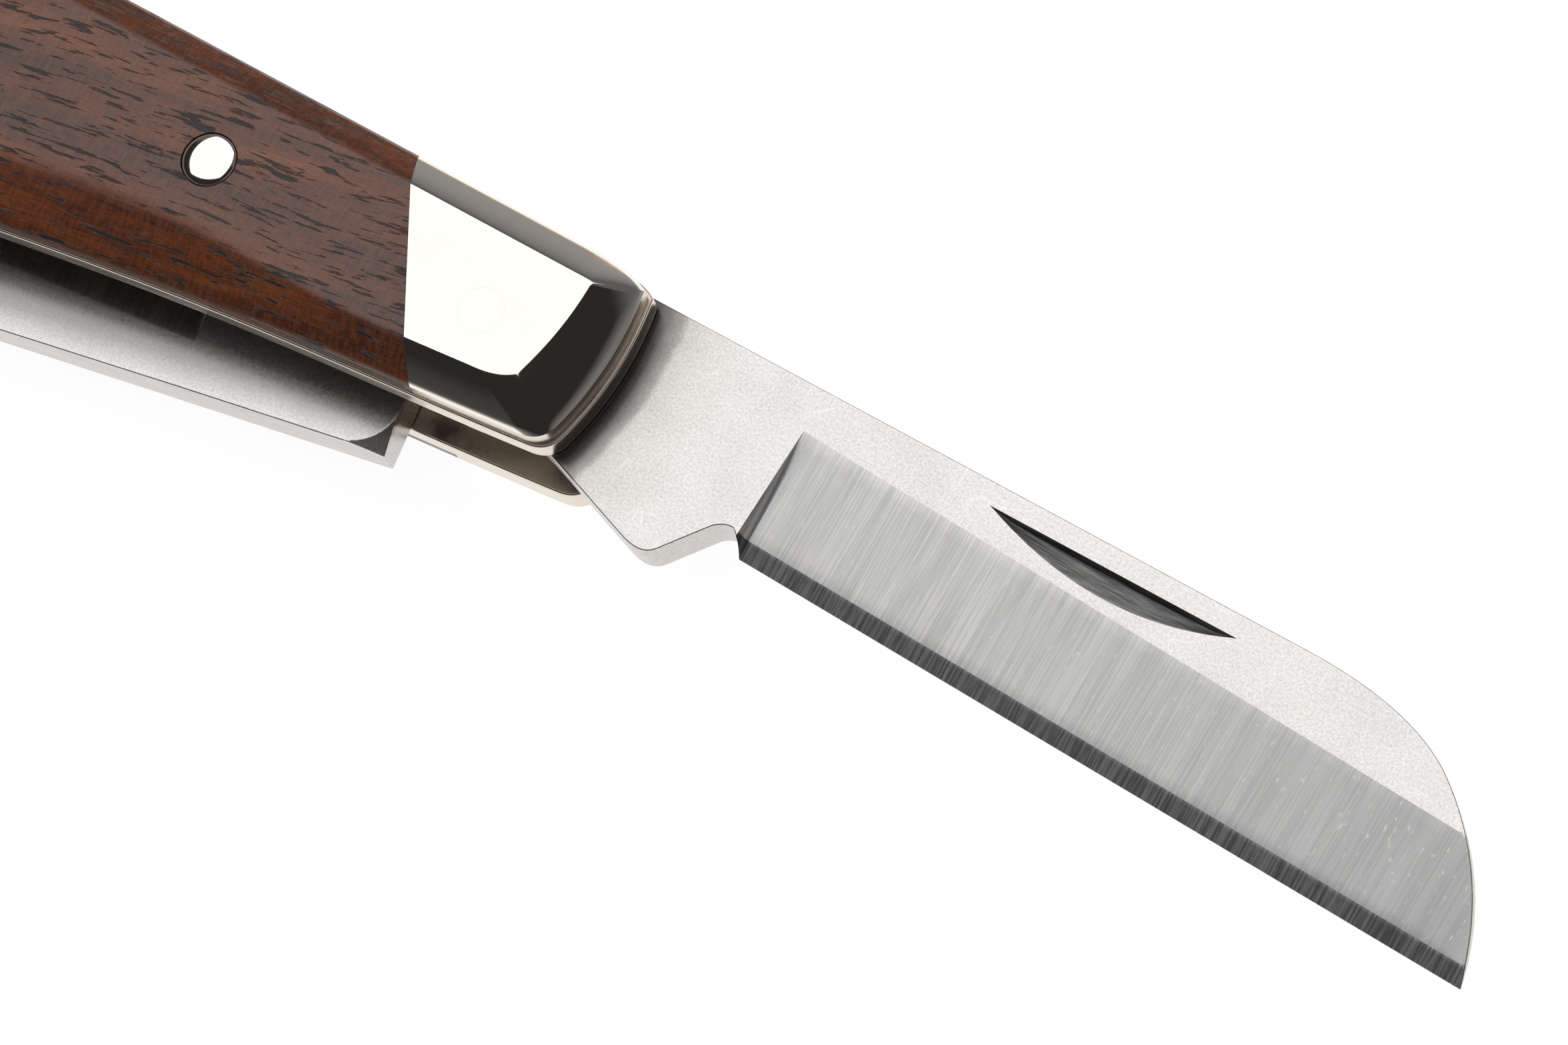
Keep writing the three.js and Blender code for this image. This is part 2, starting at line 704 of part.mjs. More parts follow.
add('mark_liner', liner(markLinerLow), nickelSilver);
add('pile_liner', liner(pileLinerLow), nickelSilver);
add('center_liner', centerLiner(), nickelSilver);
Object.entries(sides).forEach(([side, matrix]) => {
  add(`${side}_scale`, moved(scale(), matrix), rosewood);
  add(`${side}_front_bolster`, moved(bolster('front'), matrix), nickelSilver);
  add(`${side}_rear_bolster`, moved(bolster('rear'), matrix), nickelSilver);
  Object.entries(scalePins).forEach(([end, pin]) => {
    add(`${side}_${end}_scale_pin`, moved(scalePinBody(pin), matrix), nickelSilver);
  });
});
add('mark_spring', markSpring(), springSteel);
add('pile_spring', pileSpring(), springSteel);
add('front_pivot_pin', rod(pivotRadius, 0, totalThickness), nickelSilver);
add('rear_pivot_pin', rod(pivotRadius, 0, totalThickness, rearPivot.x, rearPivot.y), nickelSilver);
const springPinHigh = totalThickness - scaleStepDown;
add('spring_pin', rod(springPinRadius, scaleStepDown, springPinHigh, springPin.x, springPin.y), springSteel);

const sheepsfootBody = bladeBody(sheepsfoot, sheepsfootNose, sheepsfoot.tip);
add('sheepsfoot_blade', moved(sheepsfootBody, inMarkSlot()), satinSteel);
const clipBody = bladeBody(clip, clipNose, clip.tip - 1);
add('clip_blade', moved(clipBody, inPileSlot().multiply(turned(-clip.closed))), satinSteel);
const speyBody = bladeBody(spey, speyNose, spey.tip - 0.5);
const speyPlace = toRearEnd().multiply(inMarkSlot()).multiply(turned(-spey.closed));
add('spey_blade', moved(speyBody, speyPlace), satinSteel);

export default knife;
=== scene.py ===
import math

import bmesh
import bpy
import numpy as np
from mathutils import Matrix, Vector


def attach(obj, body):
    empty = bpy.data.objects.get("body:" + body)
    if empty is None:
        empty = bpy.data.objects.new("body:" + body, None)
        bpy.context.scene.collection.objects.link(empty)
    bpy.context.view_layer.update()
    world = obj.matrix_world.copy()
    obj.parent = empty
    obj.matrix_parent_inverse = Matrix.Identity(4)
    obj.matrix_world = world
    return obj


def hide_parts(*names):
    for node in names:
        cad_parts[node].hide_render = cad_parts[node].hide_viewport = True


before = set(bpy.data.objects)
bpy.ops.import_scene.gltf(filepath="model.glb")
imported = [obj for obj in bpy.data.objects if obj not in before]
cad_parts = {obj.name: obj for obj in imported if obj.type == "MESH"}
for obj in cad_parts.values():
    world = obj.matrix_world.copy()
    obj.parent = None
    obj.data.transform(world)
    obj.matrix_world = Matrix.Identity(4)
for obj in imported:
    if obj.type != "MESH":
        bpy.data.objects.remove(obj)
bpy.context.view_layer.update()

# Folding pocket knife. Sizes are millimetres in the CAD source's frame: the origin is on the front
# pivot at the face the knife lies on, +X along the open blade, +Y to the back, +Z to the mark side.
MM = 0.001

# Handle outline.
PIVOT_SPACING = 85.2
ARCH = math.radians(7)
BACK_HEIGHT = 6.35
CREST_LENGTH = 32
BACK_DROP = 0.75
BACK_DROP_LENGTH = 4.6
BACK_CORNER = 0.7
SLOT_DEPTH = 5.05
SLOT_WAVE = 0.27
SLOT_WAVE_LENGTH = 51
END_REACH = 7.42
END_CROWN = 1
END_RADIUS = 18.7
SLOT_CORNER = 1.1
CORNER_TIGHTENS = 0.85

# Layers, from the pile side up.
COVER_THICKNESS = 2.6
LINER_THICKNESS = 1.3
BLADE_THICKNESS = 2.5
BLADE_PLAY = 0.08
CENTER_THICKNESS = 0.58
SEAT_GAP = 0.02
SLOT_WIDTH = BLADE_THICKNESS + 2 * BLADE_PLAY
PILE_LINER_LOW = COVER_THICKNESS + SEAT_GAP
PILE_SLOT_LOW = PILE_LINER_LOW + LINER_THICKNESS + SEAT_GAP
CENTER_LOW = PILE_SLOT_LOW + SLOT_WIDTH + SEAT_GAP
MARK_SLOT_LOW = CENTER_LOW + CENTER_THICKNESS + SEAT_GAP
MARK_LINER_LOW = MARK_SLOT_LOW + SLOT_WIDTH + SEAT_GAP
MARK_COVER_LOW = MARK_LINER_LOW + LINER_THICKNESS + SEAT_GAP
MARK_BLADE_FACE = MARK_SLOT_LOW + SLOT_WIDTH - BLADE_PLAY
PILE_BLADE_FACE = PILE_SLOT_LOW + BLADE_PLAY
TOTAL = MARK_COVER_LOW + COVER_THICKNESS

# Bolsters and scales.
COVER_INSET = 0.15
COVER_END_INSET = 0.26
RIM_HEIGHT = 1.15
RIM_ROUND = 0.13
RIM_ROUND_SHARE = 0.11
RIM_BEND_SHARE = RIM_ROUND_SHARE * 0.6
END_RUN = 0.93
FLAT_ROUND_SHARE = 0.06
WOOD_ROUND_SHARE = 0.22
WOOD_EXTRA_BEVEL = 1.9
WOOD_EXTRA_START = 2
WOOD_EXTRA_LENGTH = 20
SIDE_BEVEL = 2
END_BEVEL = 2.9
END_LEAN = 0.13
BEVEL_ROUNDNESS = 1.12
SCALE_STEP_DOWN = 0.2
JOINT_X = -4.9
JOINT_LEAN = 0.62
JOINT_GAP = 0.02

# Pins.
PIVOT_RADIUS = 1.3
SPRING_PIN_RADIUS = 1
PIN_SHANK = 0.8
PIN_HEAD = 1.56
PIN_RIM = 0.16
PIN_FULLNESS = 3.0
PIN_SINK = 0.35
PIN_RING = 0.05
SCALE_PIN = (-18.43, 0.16)
PIN_TOP = 0.01
PIVOT_RING = 0.0015
PIVOT_EDGE = 0.004
SPRING_PIN_EDGE = 0.03
BORE_FIT = 0.04
PIN_PLAY = 0.06

# Springs.
TANG_HEIGHT = 2.85
SPRING_RECESS = 0.1
SPRING_ARM_FACE = 3.95
SPRING_PAD = 3.6
SPRING_RELIEF = 8.5
PIN_BELOW_BACK = 3.9
PIN_WALL = 1.1
BOSS_LENGTH = 9
SPRING_END_GAP = 0.06
SPRING_END_ROUND = 0.12
STRIP_PAST_PIVOTS = 1
PLATE_ROUND = 0.07
LINER_ROUND = 0.13

# Blades.
SHOULDER_X = 4.86
TANG_GAP = 0.05
TANG_FLAT = 6
TANG_EASE = 1.5
KICK_X = 13.7
KICK_ROUND = 1
KICK_FLAT = 1.6
NOTCH_X = 17.2
NOTCH_TOP = 2.95
NOTCH_ROUND = 0.45
PLUNGE_X = 17.65
PLUNGE_WIDTH = 0.5
HEEL_X = 18.07
HEEL_Y = -4.01
EDGE_FLAT = 0.04
MICRO_BEVEL = 1.05
MICRO_SPREAD = 0.3
NICK_DEPTH = 0.45
NICK_WALL = 0.22
SPINE_ROUND = 0.09
SHOULDER_RELIEF = 2.8
RELIEF_SLOPE = 0.6
# Painted shade of the bolster's end on the open blade's tang: where it starts and where it has faded.
BOLSTER_SHADE_START = 7.5
BOLSTER_SHADE_END = 13

# Points along each stretch of a line, and sides of a turned pin.
CREST_POINTS, FLANK_POINTS, TOP_CORNER_POINTS = 25, 40, 18
END_POINTS, SLOT_CORNER_POINTS, SLOT_POINTS = 36, 14, 70
BEND_POINTS, BEVEL_POINTS, JOINT_POINTS = 10, 18, 8
SCALE_STATIONS, ACROSS_POINTS = 70, 14
CROWN_POINTS, ROUND_POINTS, SPRING_POINTS = 26, 5, 161
PIN_SIDES = 64

# Rows of a blade's section from the round foot to the round head, and the least and greatest share of
# the room between its neighbours that each border may take where the blade is low.
ROW_COUNTS = [5, 9, 14, 7, 3, 9]
BEVEL_ROOM, MICRO_ROOM, NICK_ROOM = (0.1, 0.96), (0.05, 0.85), (0.35, 0.9)
SPINE_BAND, EDGE_BAND, NICK_BANDS = 8, 9, (4, 5)
FLAT_FINISH, BEVEL_FINISH, EDGE_FINISH, NICK_FINISH, SPINE_FINISH = range(5)

SHEEPSFOOT = dict(
    closed=math.radians(168.7), spine=6, tip=63.4, tip_thickness=1.6, bevel_top=3.48, bevel_fall=0.05,
    edge_fall=0.0337, belly_start=70, belly_rise=0, belly_power=2, nick=(28.7, 43.9, 4.75, 1.55),
    nose=dict(nose_back=1.5, nose_drop=5.83, brow_back=6.15, brow_drop=2.4, bend_back=9.4, spine_back=16),
)
CLIP = dict(
    closed=math.radians(169.4), spine=7.23, tip=72, tip_thickness=1.4, bevel_top=4.35, bevel_fall=0.072,
    edge_fall=0.012, belly_start=42, belly_rise=4.1, belly_power=2.2, nick=(20.5, 33.5, 6.2, 1.5),
    nose=dict(clip_start=36, clip_sag=0.35, point_rise=0.25),
)
SPEY = dict(
    closed=math.radians(170), spine=5.4, tip=54.5, tip_thickness=0.85, bevel_top=3.1, bevel_fall=0.03,
    edge_fall=0.008, belly_start=40.5, belly_rise=5.6, belly_power=2.4, nick=(27, 39, 4.4, 1.4),
    body_thickness=1.5, crink=(12, 20),
    nose=dict(spine_back=12, bend_back=7, bend_drop=0.4, point_rise=0.3),
)

HALF = PIVOT_SPACING / 2
ARCH_COS, ARCH_SIN, ARCH_TAN = math.cos(ARCH), math.sin(ARCH), math.tan(ARCH)


def from_handle(u, v):
    """Chord place u, v in the knife's frame: moved to the front pivot and turned by the arch angle."""
    along = u - HALF
    return np.stack([along * ARCH_COS - v * ARCH_SIN, along * ARCH_SIN + v * ARCH_COS], -1)


def to_handle(x, y):
    """The reverse: how far along the chord from its middle, and how far above it."""
    return HALF + x * ARCH_COS + y * ARCH_SIN, -x * ARCH_SIN + y * ARCH_COS


def other_end(points):
    """The same points at the handle's other end: u changes its sign."""
    u, v = to_handle(points[..., 0], points[..., 1])
    return from_handle(-u, v)


def back_v(u):
    """Back of the handle: straight flanks that meet a parabola over the crest."""
    away, half_crest = np.abs(u), CREST_LENGTH / 2
    flank = BACK_HEIGHT / ARCH_COS + (HALF - np.maximum(away, half_crest)) * ARCH_TAN
    return flank + ARCH_TAN * np.maximum(half_crest**2 - away**2, 0) / CREST_LENGTH


def slot_v(u):
    """Slot side of the handle: a level with one shallow cosine wave."""
    return -SLOT_DEPTH - SLOT_WAVE * np.cos(2 * np.pi * u / SLOT_WAVE_LENGTH)


def end_x(y, inset):
    """End of the handle: a parabola crowned a little above the pivot. Further in, it leans."""
    further = np.clip((inset - COVER_END_INSET) / END_BEVEL, 0, 1)
    crowned = END_REACH - inset - (y - END_CROWN) ** 2 / (2 * END_RADIUS)
    return crowned - END_LEAN * further * (END_CROWN - y)


def bend(start, control, end, count):
    """Quadratic bend from start to end, for whole arrays of rings at once."""
    t = np.linspace(0, 1, count)[:, None]
    start, control, end = (np.asarray(p, float)[..., None, :] for p in (start, control, end))
    return (1 - t) ** 2 * start + 2 * t * (1 - t) * control + t**2 * end


def ramp(x):
    """Smooth step from 0 to 1 with level ends."""
    t = np.clip(x, 0, 1)
    return t * t * (3 - 2 * t)


def half_outline(side, end):
    """Front half of the outline, one row for each inset: crest and flank of the back, the bent top
    corner, the crowned end, the bent slot corner, and the slot side back to the middle. The top
    corner gets tighter the further in the row is, so that the two bevels meet along a mitre."""
    side, end = (np.atleast_1d(np.asarray(a, float))[:, None] for a in (side, end))
    top_y = BACK_HEIGHT - side
    tight = 1 - CORNER_TIGHTENS * np.clip(side / SIDE_BEVEL, 0, 1)
    start_u = to_handle(end_x(top_y, end) - BACK_DROP_LENGTH * tight, top_y)[0]
    crest_u = np.linspace(0, CREST_LENGTH / 2, CREST_POINTS)[None] + 0 * side
    flank_u = CREST_LENGTH / 2 + (start_u - CREST_LENGTH / 2) * np.linspace(0, 1, FLANK_POINTS)[None, 1:]
    back_u = np.concatenate([crest_u, flank_u], 1)
    back = from_handle(back_u, back_v(back_u) - side)
    corner = np.stack([end_x(top_y, end) - BACK_CORNER * tight, top_y], -1)[:, 0]
    drop_y = top_y - BACK_DROP * tight
    drop = np.stack([end_x(drop_y, end), drop_y], -1)[:, 0]
    top_corner = bend(back[:, -1], corner, drop, TOP_CORNER_POINTS)[:, 1:]
    rough_u = to_handle(end_x(-SLOT_DEPTH, end), -SLOT_DEPTH)[0]
    low_y = from_handle(rough_u, slot_v(rough_u) + side)[..., 1]
    end_y = drop_y + (low_y + SLOT_CORNER - drop_y) * np.linspace(0, 1, END_POINTS)[None, 1:]
    front = np.stack([end_x(end_y, end), end_y], -1)
    slot_start = rough_u - SLOT_CORNER
    slot_point = from_handle(slot_start, slot_v(slot_start) + side)[:, 0]
    low_point = np.stack([end_x(low_y, end), low_y], -1)[:, 0]
    low_corner = bend(front[:, -1], low_point, slot_point, SLOT_CORNER_POINTS)[:, 1:]
    slot_u = slot_start * (1 - np.linspace(0, 1, SLOT_POINTS)[None, 1:])
    slot = from_handle(slot_u, slot_v(slot_u) + side)
    return np.concatenate([back, top_corner, front, low_corner, slot], 1)


def whole_outline(side, end):
    """The whole outline, counter-clockwise from the top: both halves, joined at the middle."""
    half = half_outline(side, end)[0]
    return np.concatenate([half, other_end(half)[-2:0:-1]])[::-1]


def cover_profile(height, flat_round):
    """Rings of a cover from the liner up, as side inset, end inset, height and share of the bevel's
    width: an upright rim, a bend, a bevel that rises by one less a power of the share that is left,
    and a bend into the flat. Over the end the inset follows the height above the rim instead: a
    straight run plus a part that grows with the height's square."""

    def rise(share):
        return RIM_HEIGHT + (height - RIM_HEIGHT) * (1 - (1 - share) ** BEVEL_ROUNDNESS)

    rim_top = RIM_HEIGHT - RIM_ROUND
    shoulder = bend((0, rim_top), (RIM_BEND_SHARE, rise(RIM_BEND_SHARE)),
                    (RIM_ROUND_SHARE, rise(RIM_ROUND_SHARE)), BEND_POINTS)
    share = RIM_ROUND_SHARE + (1 - flat_round - RIM_ROUND_SHARE) * np.linspace(0, 1, BEVEL_POINTS)[1:]
    brow = bend((1 - flat_round, rise(1 - flat_round)), (1, height), (1 + flat_round, height),
                BEND_POINTS)[1:]
    share_all = np.concatenate([[0, 0], shoulder[1:, 0], share, brow[:, 0]])
    z = np.concatenate([[0, rim_top], shoulder[1:, 1], rise(share), brow[:, 1]])
    top = rise(1 - flat_round) - rim_top
    over = np.clip(z - rim_top, 0, top)
    curve = (END_BEVEL * (1 - flat_round) - END_RUN * top) / top**2
    run = END_RUN * over + curve * over**2 + END_BEVEL * np.maximum(share_all - (1 - flat_round), 0)
    return COVER_INSET + SIDE_BEVEL * share_all, COVER_END_INSET + run, z, share_all


def joint_places(outline, shift):
    """Fractional places on each ring where it passes the slanted joint line, moved along X by shift."""
    ahead = outline[..., 0] - JOINT_X + JOINT_LEAN * outline[..., 1] - shift
    turn = np.diff(np.sign(ahead), axis=1) != 0
    places = []
    for index in (turn.argmax(1), turn.shape[1] - 1 - turn[:, ::-1].argmax(1)):
        before = np.take_along_axis(ahead, index[:, None], 1)[:, 0]
        after = np.take_along_axis(ahead, index[:, None] + 1, 1)[:, 0]
        places.append(index + before / (before - after))
    return places


def on_rings(outline, places):
    """Points of each ring at its own fractional places, straight between neighbours."""
    low = np.clip(np.floor(places).astype(int), 0, outline.shape[1] - 2)
    part = (places - low)[..., None]
    rows = np.arange(len(outline))[:, None]
    return outline[rows, low] * (1 - part) + outline[rows, low + 1] * part


def with_height(points, z):
    """Plan points of rings, each ring at its own height."""
    return np.concatenate([points, np.broadcast_to(z[:, None, None], points.shape[:2] + (1,))], -1)


def quads(rows, columns, wrap=False):
    """Corner numbers of a grid's faces. With wrap, the last column joins the first."""
    number = np.arange(rows * columns).reshape(rows, columns)
    if wrap:
        number = np.concatenate([number, number[:, :1]], 1)
    corners = [number[:-1, :-1], number[:-1, 1:], number[1:, 1:], number[1:, :-1]]
    return np.stack([c.ravel() for c in corners], -1)


def tube_faces(rows, columns):
    """Faces of a tube of closed rings, with a face over each end."""
    number = np.arange(rows * columns).reshape(rows, columns)
    return quads(rows, columns, wrap=True).tolist() + [number[0, ::-1].tolist(), number[-1].tolist()]


def mesh_of(name, points, faces):
    """A mesh in metres from points in millimetres."""
    mesh = bpy.data.meshes.new(name)
    mesh.from_pydata((np.asarray(points, float).reshape(-1, 3) * MM).tolist(), [], faces)
    return mesh


def new_object(name, data):
    """An object in the scene, at the origin."""
    made = bpy.data.objects.new(name, data)
    bpy.context.scene.collection.objects.link(made)
    return made


def enter(name, mesh, body):
    """The object of a piece: it rides on a body and takes the place of its CAD node."""
    piece = new_object(name + "_body", mesh)
    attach(piece, body)
    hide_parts(name)
    return piece


def new_piece(name, points, faces, materials, body, face_material=None, inside_out=False):
    """A piece from points and faces, with a number in the list of materials for each face."""
    faces = [list(f)[::-1] if inside_out else list(f) for f in faces]
    mesh = mesh_of(name + "_body", points, faces)
    for material in materials:
        mesh.materials.append(material)
    if face_material is not None:
        mesh.polygons.foreach_set("material_index", np.asarray(face_material, np.int32))
    mesh.validate()
    return enter(name, mesh, body)


def soften(piece, angle=40):
    """Smooth shading with true creases above an angle, and normals led by the larger faces."""
    piece.data.shade_smooth()
    piece.data.set_sharp_from_angle(angle=math.radians(angle))
    weighted = piece.modifiers.new("normals", "WEIGHTED_NORMAL")
    weighted.mode = "FACE_AREA"
    weighted.keep_sharp = True
    return piece


def merge(piece, distance=1e-7):
    """Joins points that coincide, so that poles and seams are closed."""
    work = bmesh.new()
    work.from_mesh(piece.data)
    bmesh.ops.remove_doubles(work, verts=work.verts, dist=distance)
    bmesh.ops.dissolve_degenerate(work, edges=work.edges, dist=distance)
    work.to_mesh(piece.data)
    work.free()


def lathe_mesh(name, profile, centre):
    """Closed turned body: radius and height pairs carried round an upright axis."""
    profile = np.asarray(profile, float)
    turn = np.linspace(0, 2 * np.pi, PIN_SIDES, endpoint=False)
    ring = np.stack([np.cos(turn), np.sin(turn)], -1)
    points = profile[:, None, :1] * ring[None] + np.asarray(centre, float)
    return mesh_of(name, with_height(points, profile[:, 1]), tube_faces(len(profile), PIN_SIDES))


def bore(piece, *cutters):
    """Cuts turned bodies, given as profile and centre, out of a piece, and applies the cuts."""
    for profile, centre in cutters:
        tool = new_object("tool", lathe_mesh("tool", profile, centre))
        step = piece.modifiers.new("bore", "BOOLEAN")
        step.operation, step.solver, step.object = "DIFFERENCE", "EXACT", tool
        bpy.context.view_layer.update()
        dug = bpy.data.meshes.new_from_object(piece.evaluated_get(bpy.context.evaluated_depsgraph_get()))
        piece.modifiers.clear()
        old = piece.data
        piece.data = dug
        dug.name = old.name
        bpy.data.objects.remove(tool)
        bpy.data.meshes.remove(old)


def straight_bore(radius, centre):
    """A cutter through the whole knife."""
    return [(radius, -1), (radius, TOTAL + 1)], centre


# Materials. Small helpers make each node, and set or link what it is given.
def feed(tree, made, values):
    """Sets each input of a node to its value, or links it where the value is another node's output."""
    for key, value in dict(values).items():
        if isinstance(value, bpy.types.NodeSocket):
            tree.links.new(value, made.inputs[key])
        else:
            made.inputs[key].default_value = value


def node(tree, kind, inputs=(), **settings):
    """A new shader node of a kind, with its settings and inputs."""
    made = tree.nodes.new("ShaderNode" + kind)
    for key, value in settings.items():
        setattr(made, key, value)
    feed(tree, made, inputs)
    return made


def new_material(name):
    """A material with its node tree and main shader."""
    material = bpy.data.materials.new(name)
    material.use_nodes = True
    return material, material.node_tree, material.node_tree.nodes["Principled BSDF"]


def place_of(tree, turn=0.0, stretch=(1, 1, 1), shift=(0, 0, 0), attribute=None):
    """Pattern coordinates in millimetres: the object's own, or a stored own-frame place."""
    if attribute:
        source = node(tree, "Attribute", attribute_name=attribute).outputs["Vector"]
        unit = 1
    else:
        source = node(tree, "TexCoord").outputs["Object"]
        unit = 1 / MM
    turned = node(tree, "Mapping", {"Vector": source, "Rotation": (0, 0, turn),
                  "Scale": (unit, unit, unit)}).outputs[0]
    return node(tree, "Mapping",
                {"Vector": turned, "Scale": stretch, "Location": shift}).outputs[0]


def noise(tree, vector, scale, detail=3, roughness=0.5, distortion=0.0):
    """A cloudy value from 0 to 1 at each place."""
    return node(tree, "TexNoise", {"Vector": vector, "Scale": scale, "Detail": detail,
                "Roughness": roughness, "Distortion": distortion}).outputs["Fac"]


def streaks(tree, stretch, detail, roughness, distortion=0.0, turn=0.0, attribute="own_place"):
    """Noise on turned and stretched coordinates, for marks that run one way."""
    return noise(tree, place_of(tree, turn, stretch, attribute=attribute), 1, detail, roughness, distortion)


def spread(tree, value, low, high, out_low=0.0, out_high=1.0):
    """Maps a range of values to another, and stops at its ends."""
    return node(tree, "MapRange", {"Value": value, "From Min": low, "From Max": high,
                "To Min": out_low, "To Max": out_high}).outputs["Result"]


def math_node(tree, operation, first, second):
    """One sum, product or comparison of two values."""
    return node(tree, "Math", {0: first, 1: second}, operation=operation).outputs[0]


def split(tree, vector):
    """The x, y and z of a vector."""
    return node(tree, "SeparateXYZ", {0: vector}).outputs


def mixed(tree, share, first, second, blend="MIX"):
    """Mixes two colours by a share."""
    return node(tree, "Mix", {0: share, 6: first, 7: second}, data_type="RGBA",
                blend_type=blend).outputs[2]


def shades(tree, value, *stops):
    """Colour ramp through the given places and colours."""
    made = node(tree, "ValToRGB", {"Fac": value})
    elements = made.color_ramp.elements
    while len(elements) < len(stops):
        elements.new(0.5)
    for element, (place, colour) in zip(elements, stops):
        element.position, element.color = place, (*colour, 1)
    return made.outputs["Color"]


def bumped(tree, shader, height, strength, distance, over=None):
    """Dents the surface by a height, at a distance in millimetres, over an earlier bump if there is one."""
    inputs = {"Height": height, "Strength": strength, "Distance": distance * MM}
    if over:
        inputs["Normal"] = over
    made = node(tree, "Bump", inputs).outputs["Normal"]
    tree.links.new(made, shader.inputs["Normal"])
    return made


def metal(made, colour, roughness, height, strength, distance, metallic=1):
    """Finishes a new metal: its colour and roughness, and marks cut in by a bump."""
    material, tree, shader = made
    feed(tree, shader, {"Base Color": colour, "Roughness": roughness, "Metallic": metallic})
    bumped(tree, shader, height, strength, distance)
    return material


def warm(grey):
    """A grey with a touch less green and blue."""
    return grey, grey * 0.99, grey * 0.98


def polished_nickel(name, base, rough, hair_depth, turn, stretch):
    """Warm white metal: faint cloudy tone, fine polishing hairlines in the roughness and the surface."""
    made = new_material(name)
    tree = made[1]
    cloud = noise(tree, place_of(tree), 0.35, 4, 0.6)
    hairs = noise(tree, place_of(tree, turn, stretch), 1.1, 4, 0.65)
    return metal(made, shades(tree, cloud, (0.3, [c * 0.95 for c in base]), (0.7, base)),
                 spread(tree, hairs, 0.35, 0.75, rough * 0.7, rough * 1.6), hairs, hair_depth, 0.01)


def scratches(tree, place, scale, width, warp):
    """Thin curved lines: where a warped noise passes through its middle value."""
    wander = noise(tree, place, scale, 1, 0.3, warp)
    off = math_node(tree, "ABSOLUTE", math_node(tree, "SUBTRACT", wander, 0.5), 0)
    return spread(tree, off, 0, width, 1, 0)


def painted_bolster_shade(tree, place, cloud):
    """Painted shade: the dark reflection of the bolster's end on the tang, darkest by the handle's end and
    lighter by how far a place lies beyond it: its x, plus the square of its height over the end's crown
    divided by twice the end's radius, made ragged by a cloudy noise."""
    x, y, _ = split(tree, place)
    above = math_node(tree, "SUBTRACT", y, END_CROWN)
    curve = math_node(tree, "DIVIDE", math_node(tree, "MULTIPLY", above, above), 2 * END_RADIUS)
    ragged = math_node(tree, "ADD", math_node(tree, "ADD", x, curve),
                       spread(tree, cloud, 0.3, 0.7, -0.2, 0.2))
    return shades(tree, spread(tree, ragged, BOLSTER_SHADE_START, BOLSTER_SHADE_END), (0, (0.13, 0.13, 0.135)),
                  (0.16, (0.26, 0.26, 0.26)), (0.27, (0.46, 0.455, 0.45)), (0.335, (0.80, 0.79, 0.78)),
                  (0.53, (0.90, 0.89, 0.88)), (1, (1, 1, 1)))


def tumbled_steel(name, shaded_by_bolster):
    """Blade flats: pale grey, mottled by tumbling, with fine dark pits and soft curved scratches. On the
    open blade, painted shade stands for the bolster end's dark reflection on the tang where it leaves
    the handle; on the others, painted shade of the handle darkens the flat evenly from the spine down to
    the part that folds into the slot."""
    made = new_material(name)
    tree = made[1]
    place = place_of(tree, attribute="own_place")
    fine = noise(tree, place, 6.5, 5, 0.7)
    broad = noise(tree, place, 0.3, 3, 0.5)
    pits = noise(tree, place_of(tree, shift=(7, 3, 0), attribute="own_place"), 5, 3, 0.6)
    tone = mixed(tree, 0.25, shades(tree, fine, (0.40, (0.63, 0.605, 0.585)), (0.60, (0.87, 0.845, 0.82))),
                 shades(tree, broad, (0.38, (0.70, 0.675, 0.655)), (0.62, (0.84, 0.815, 0.795))))
    pitted = mixed(tree, spread(tree, pits, 0.64, 0.72, 0, 0.6), tone, (0.34, 0.32, 0.30, 1))
    other_place = place_of(tree, 0.9, shift=(3, 8, 0), attribute="own_place")
    lines = math_node(tree, "MAXIMUM", scratches(tree, place, 0.16, 0.004, 0.4),
                      scratches(tree, other_place, 0.33, 0.006, 0.9))
    seen = math_node(tree, "MULTIPLY", lines, spread(tree, broad, 0.42, 0.6, 0, 0.5))
    scratched = mixed(tree, seen, pitted, (0.96, 0.94, 0.92, 1))
    # Painted shade: the bolster's end reflected dark on the open blade's tang.
    if shaded_by_bolster:
        painted_shade = painted_bolster_shade(tree, place, broad)
    else:
        # Painted shade of the handle over a folded blade: darkest towards the part in the slot.
        painted_shade = shades(tree, spread(tree, split(tree, place)[1], 4.5, 7.1), (0, (0.42, 0.42, 0.43)),
                       (0.45, (0.55, 0.55, 0.55)), (1, (1, 1, 1)))
    return metal(made, mixed(tree, 1.0, scratched, painted_shade, "MULTIPLY"),
                 spread(tree, fine, 0.3, 0.7, 0.15, 0.25), fine, 0.2, 0.006, 0.88)


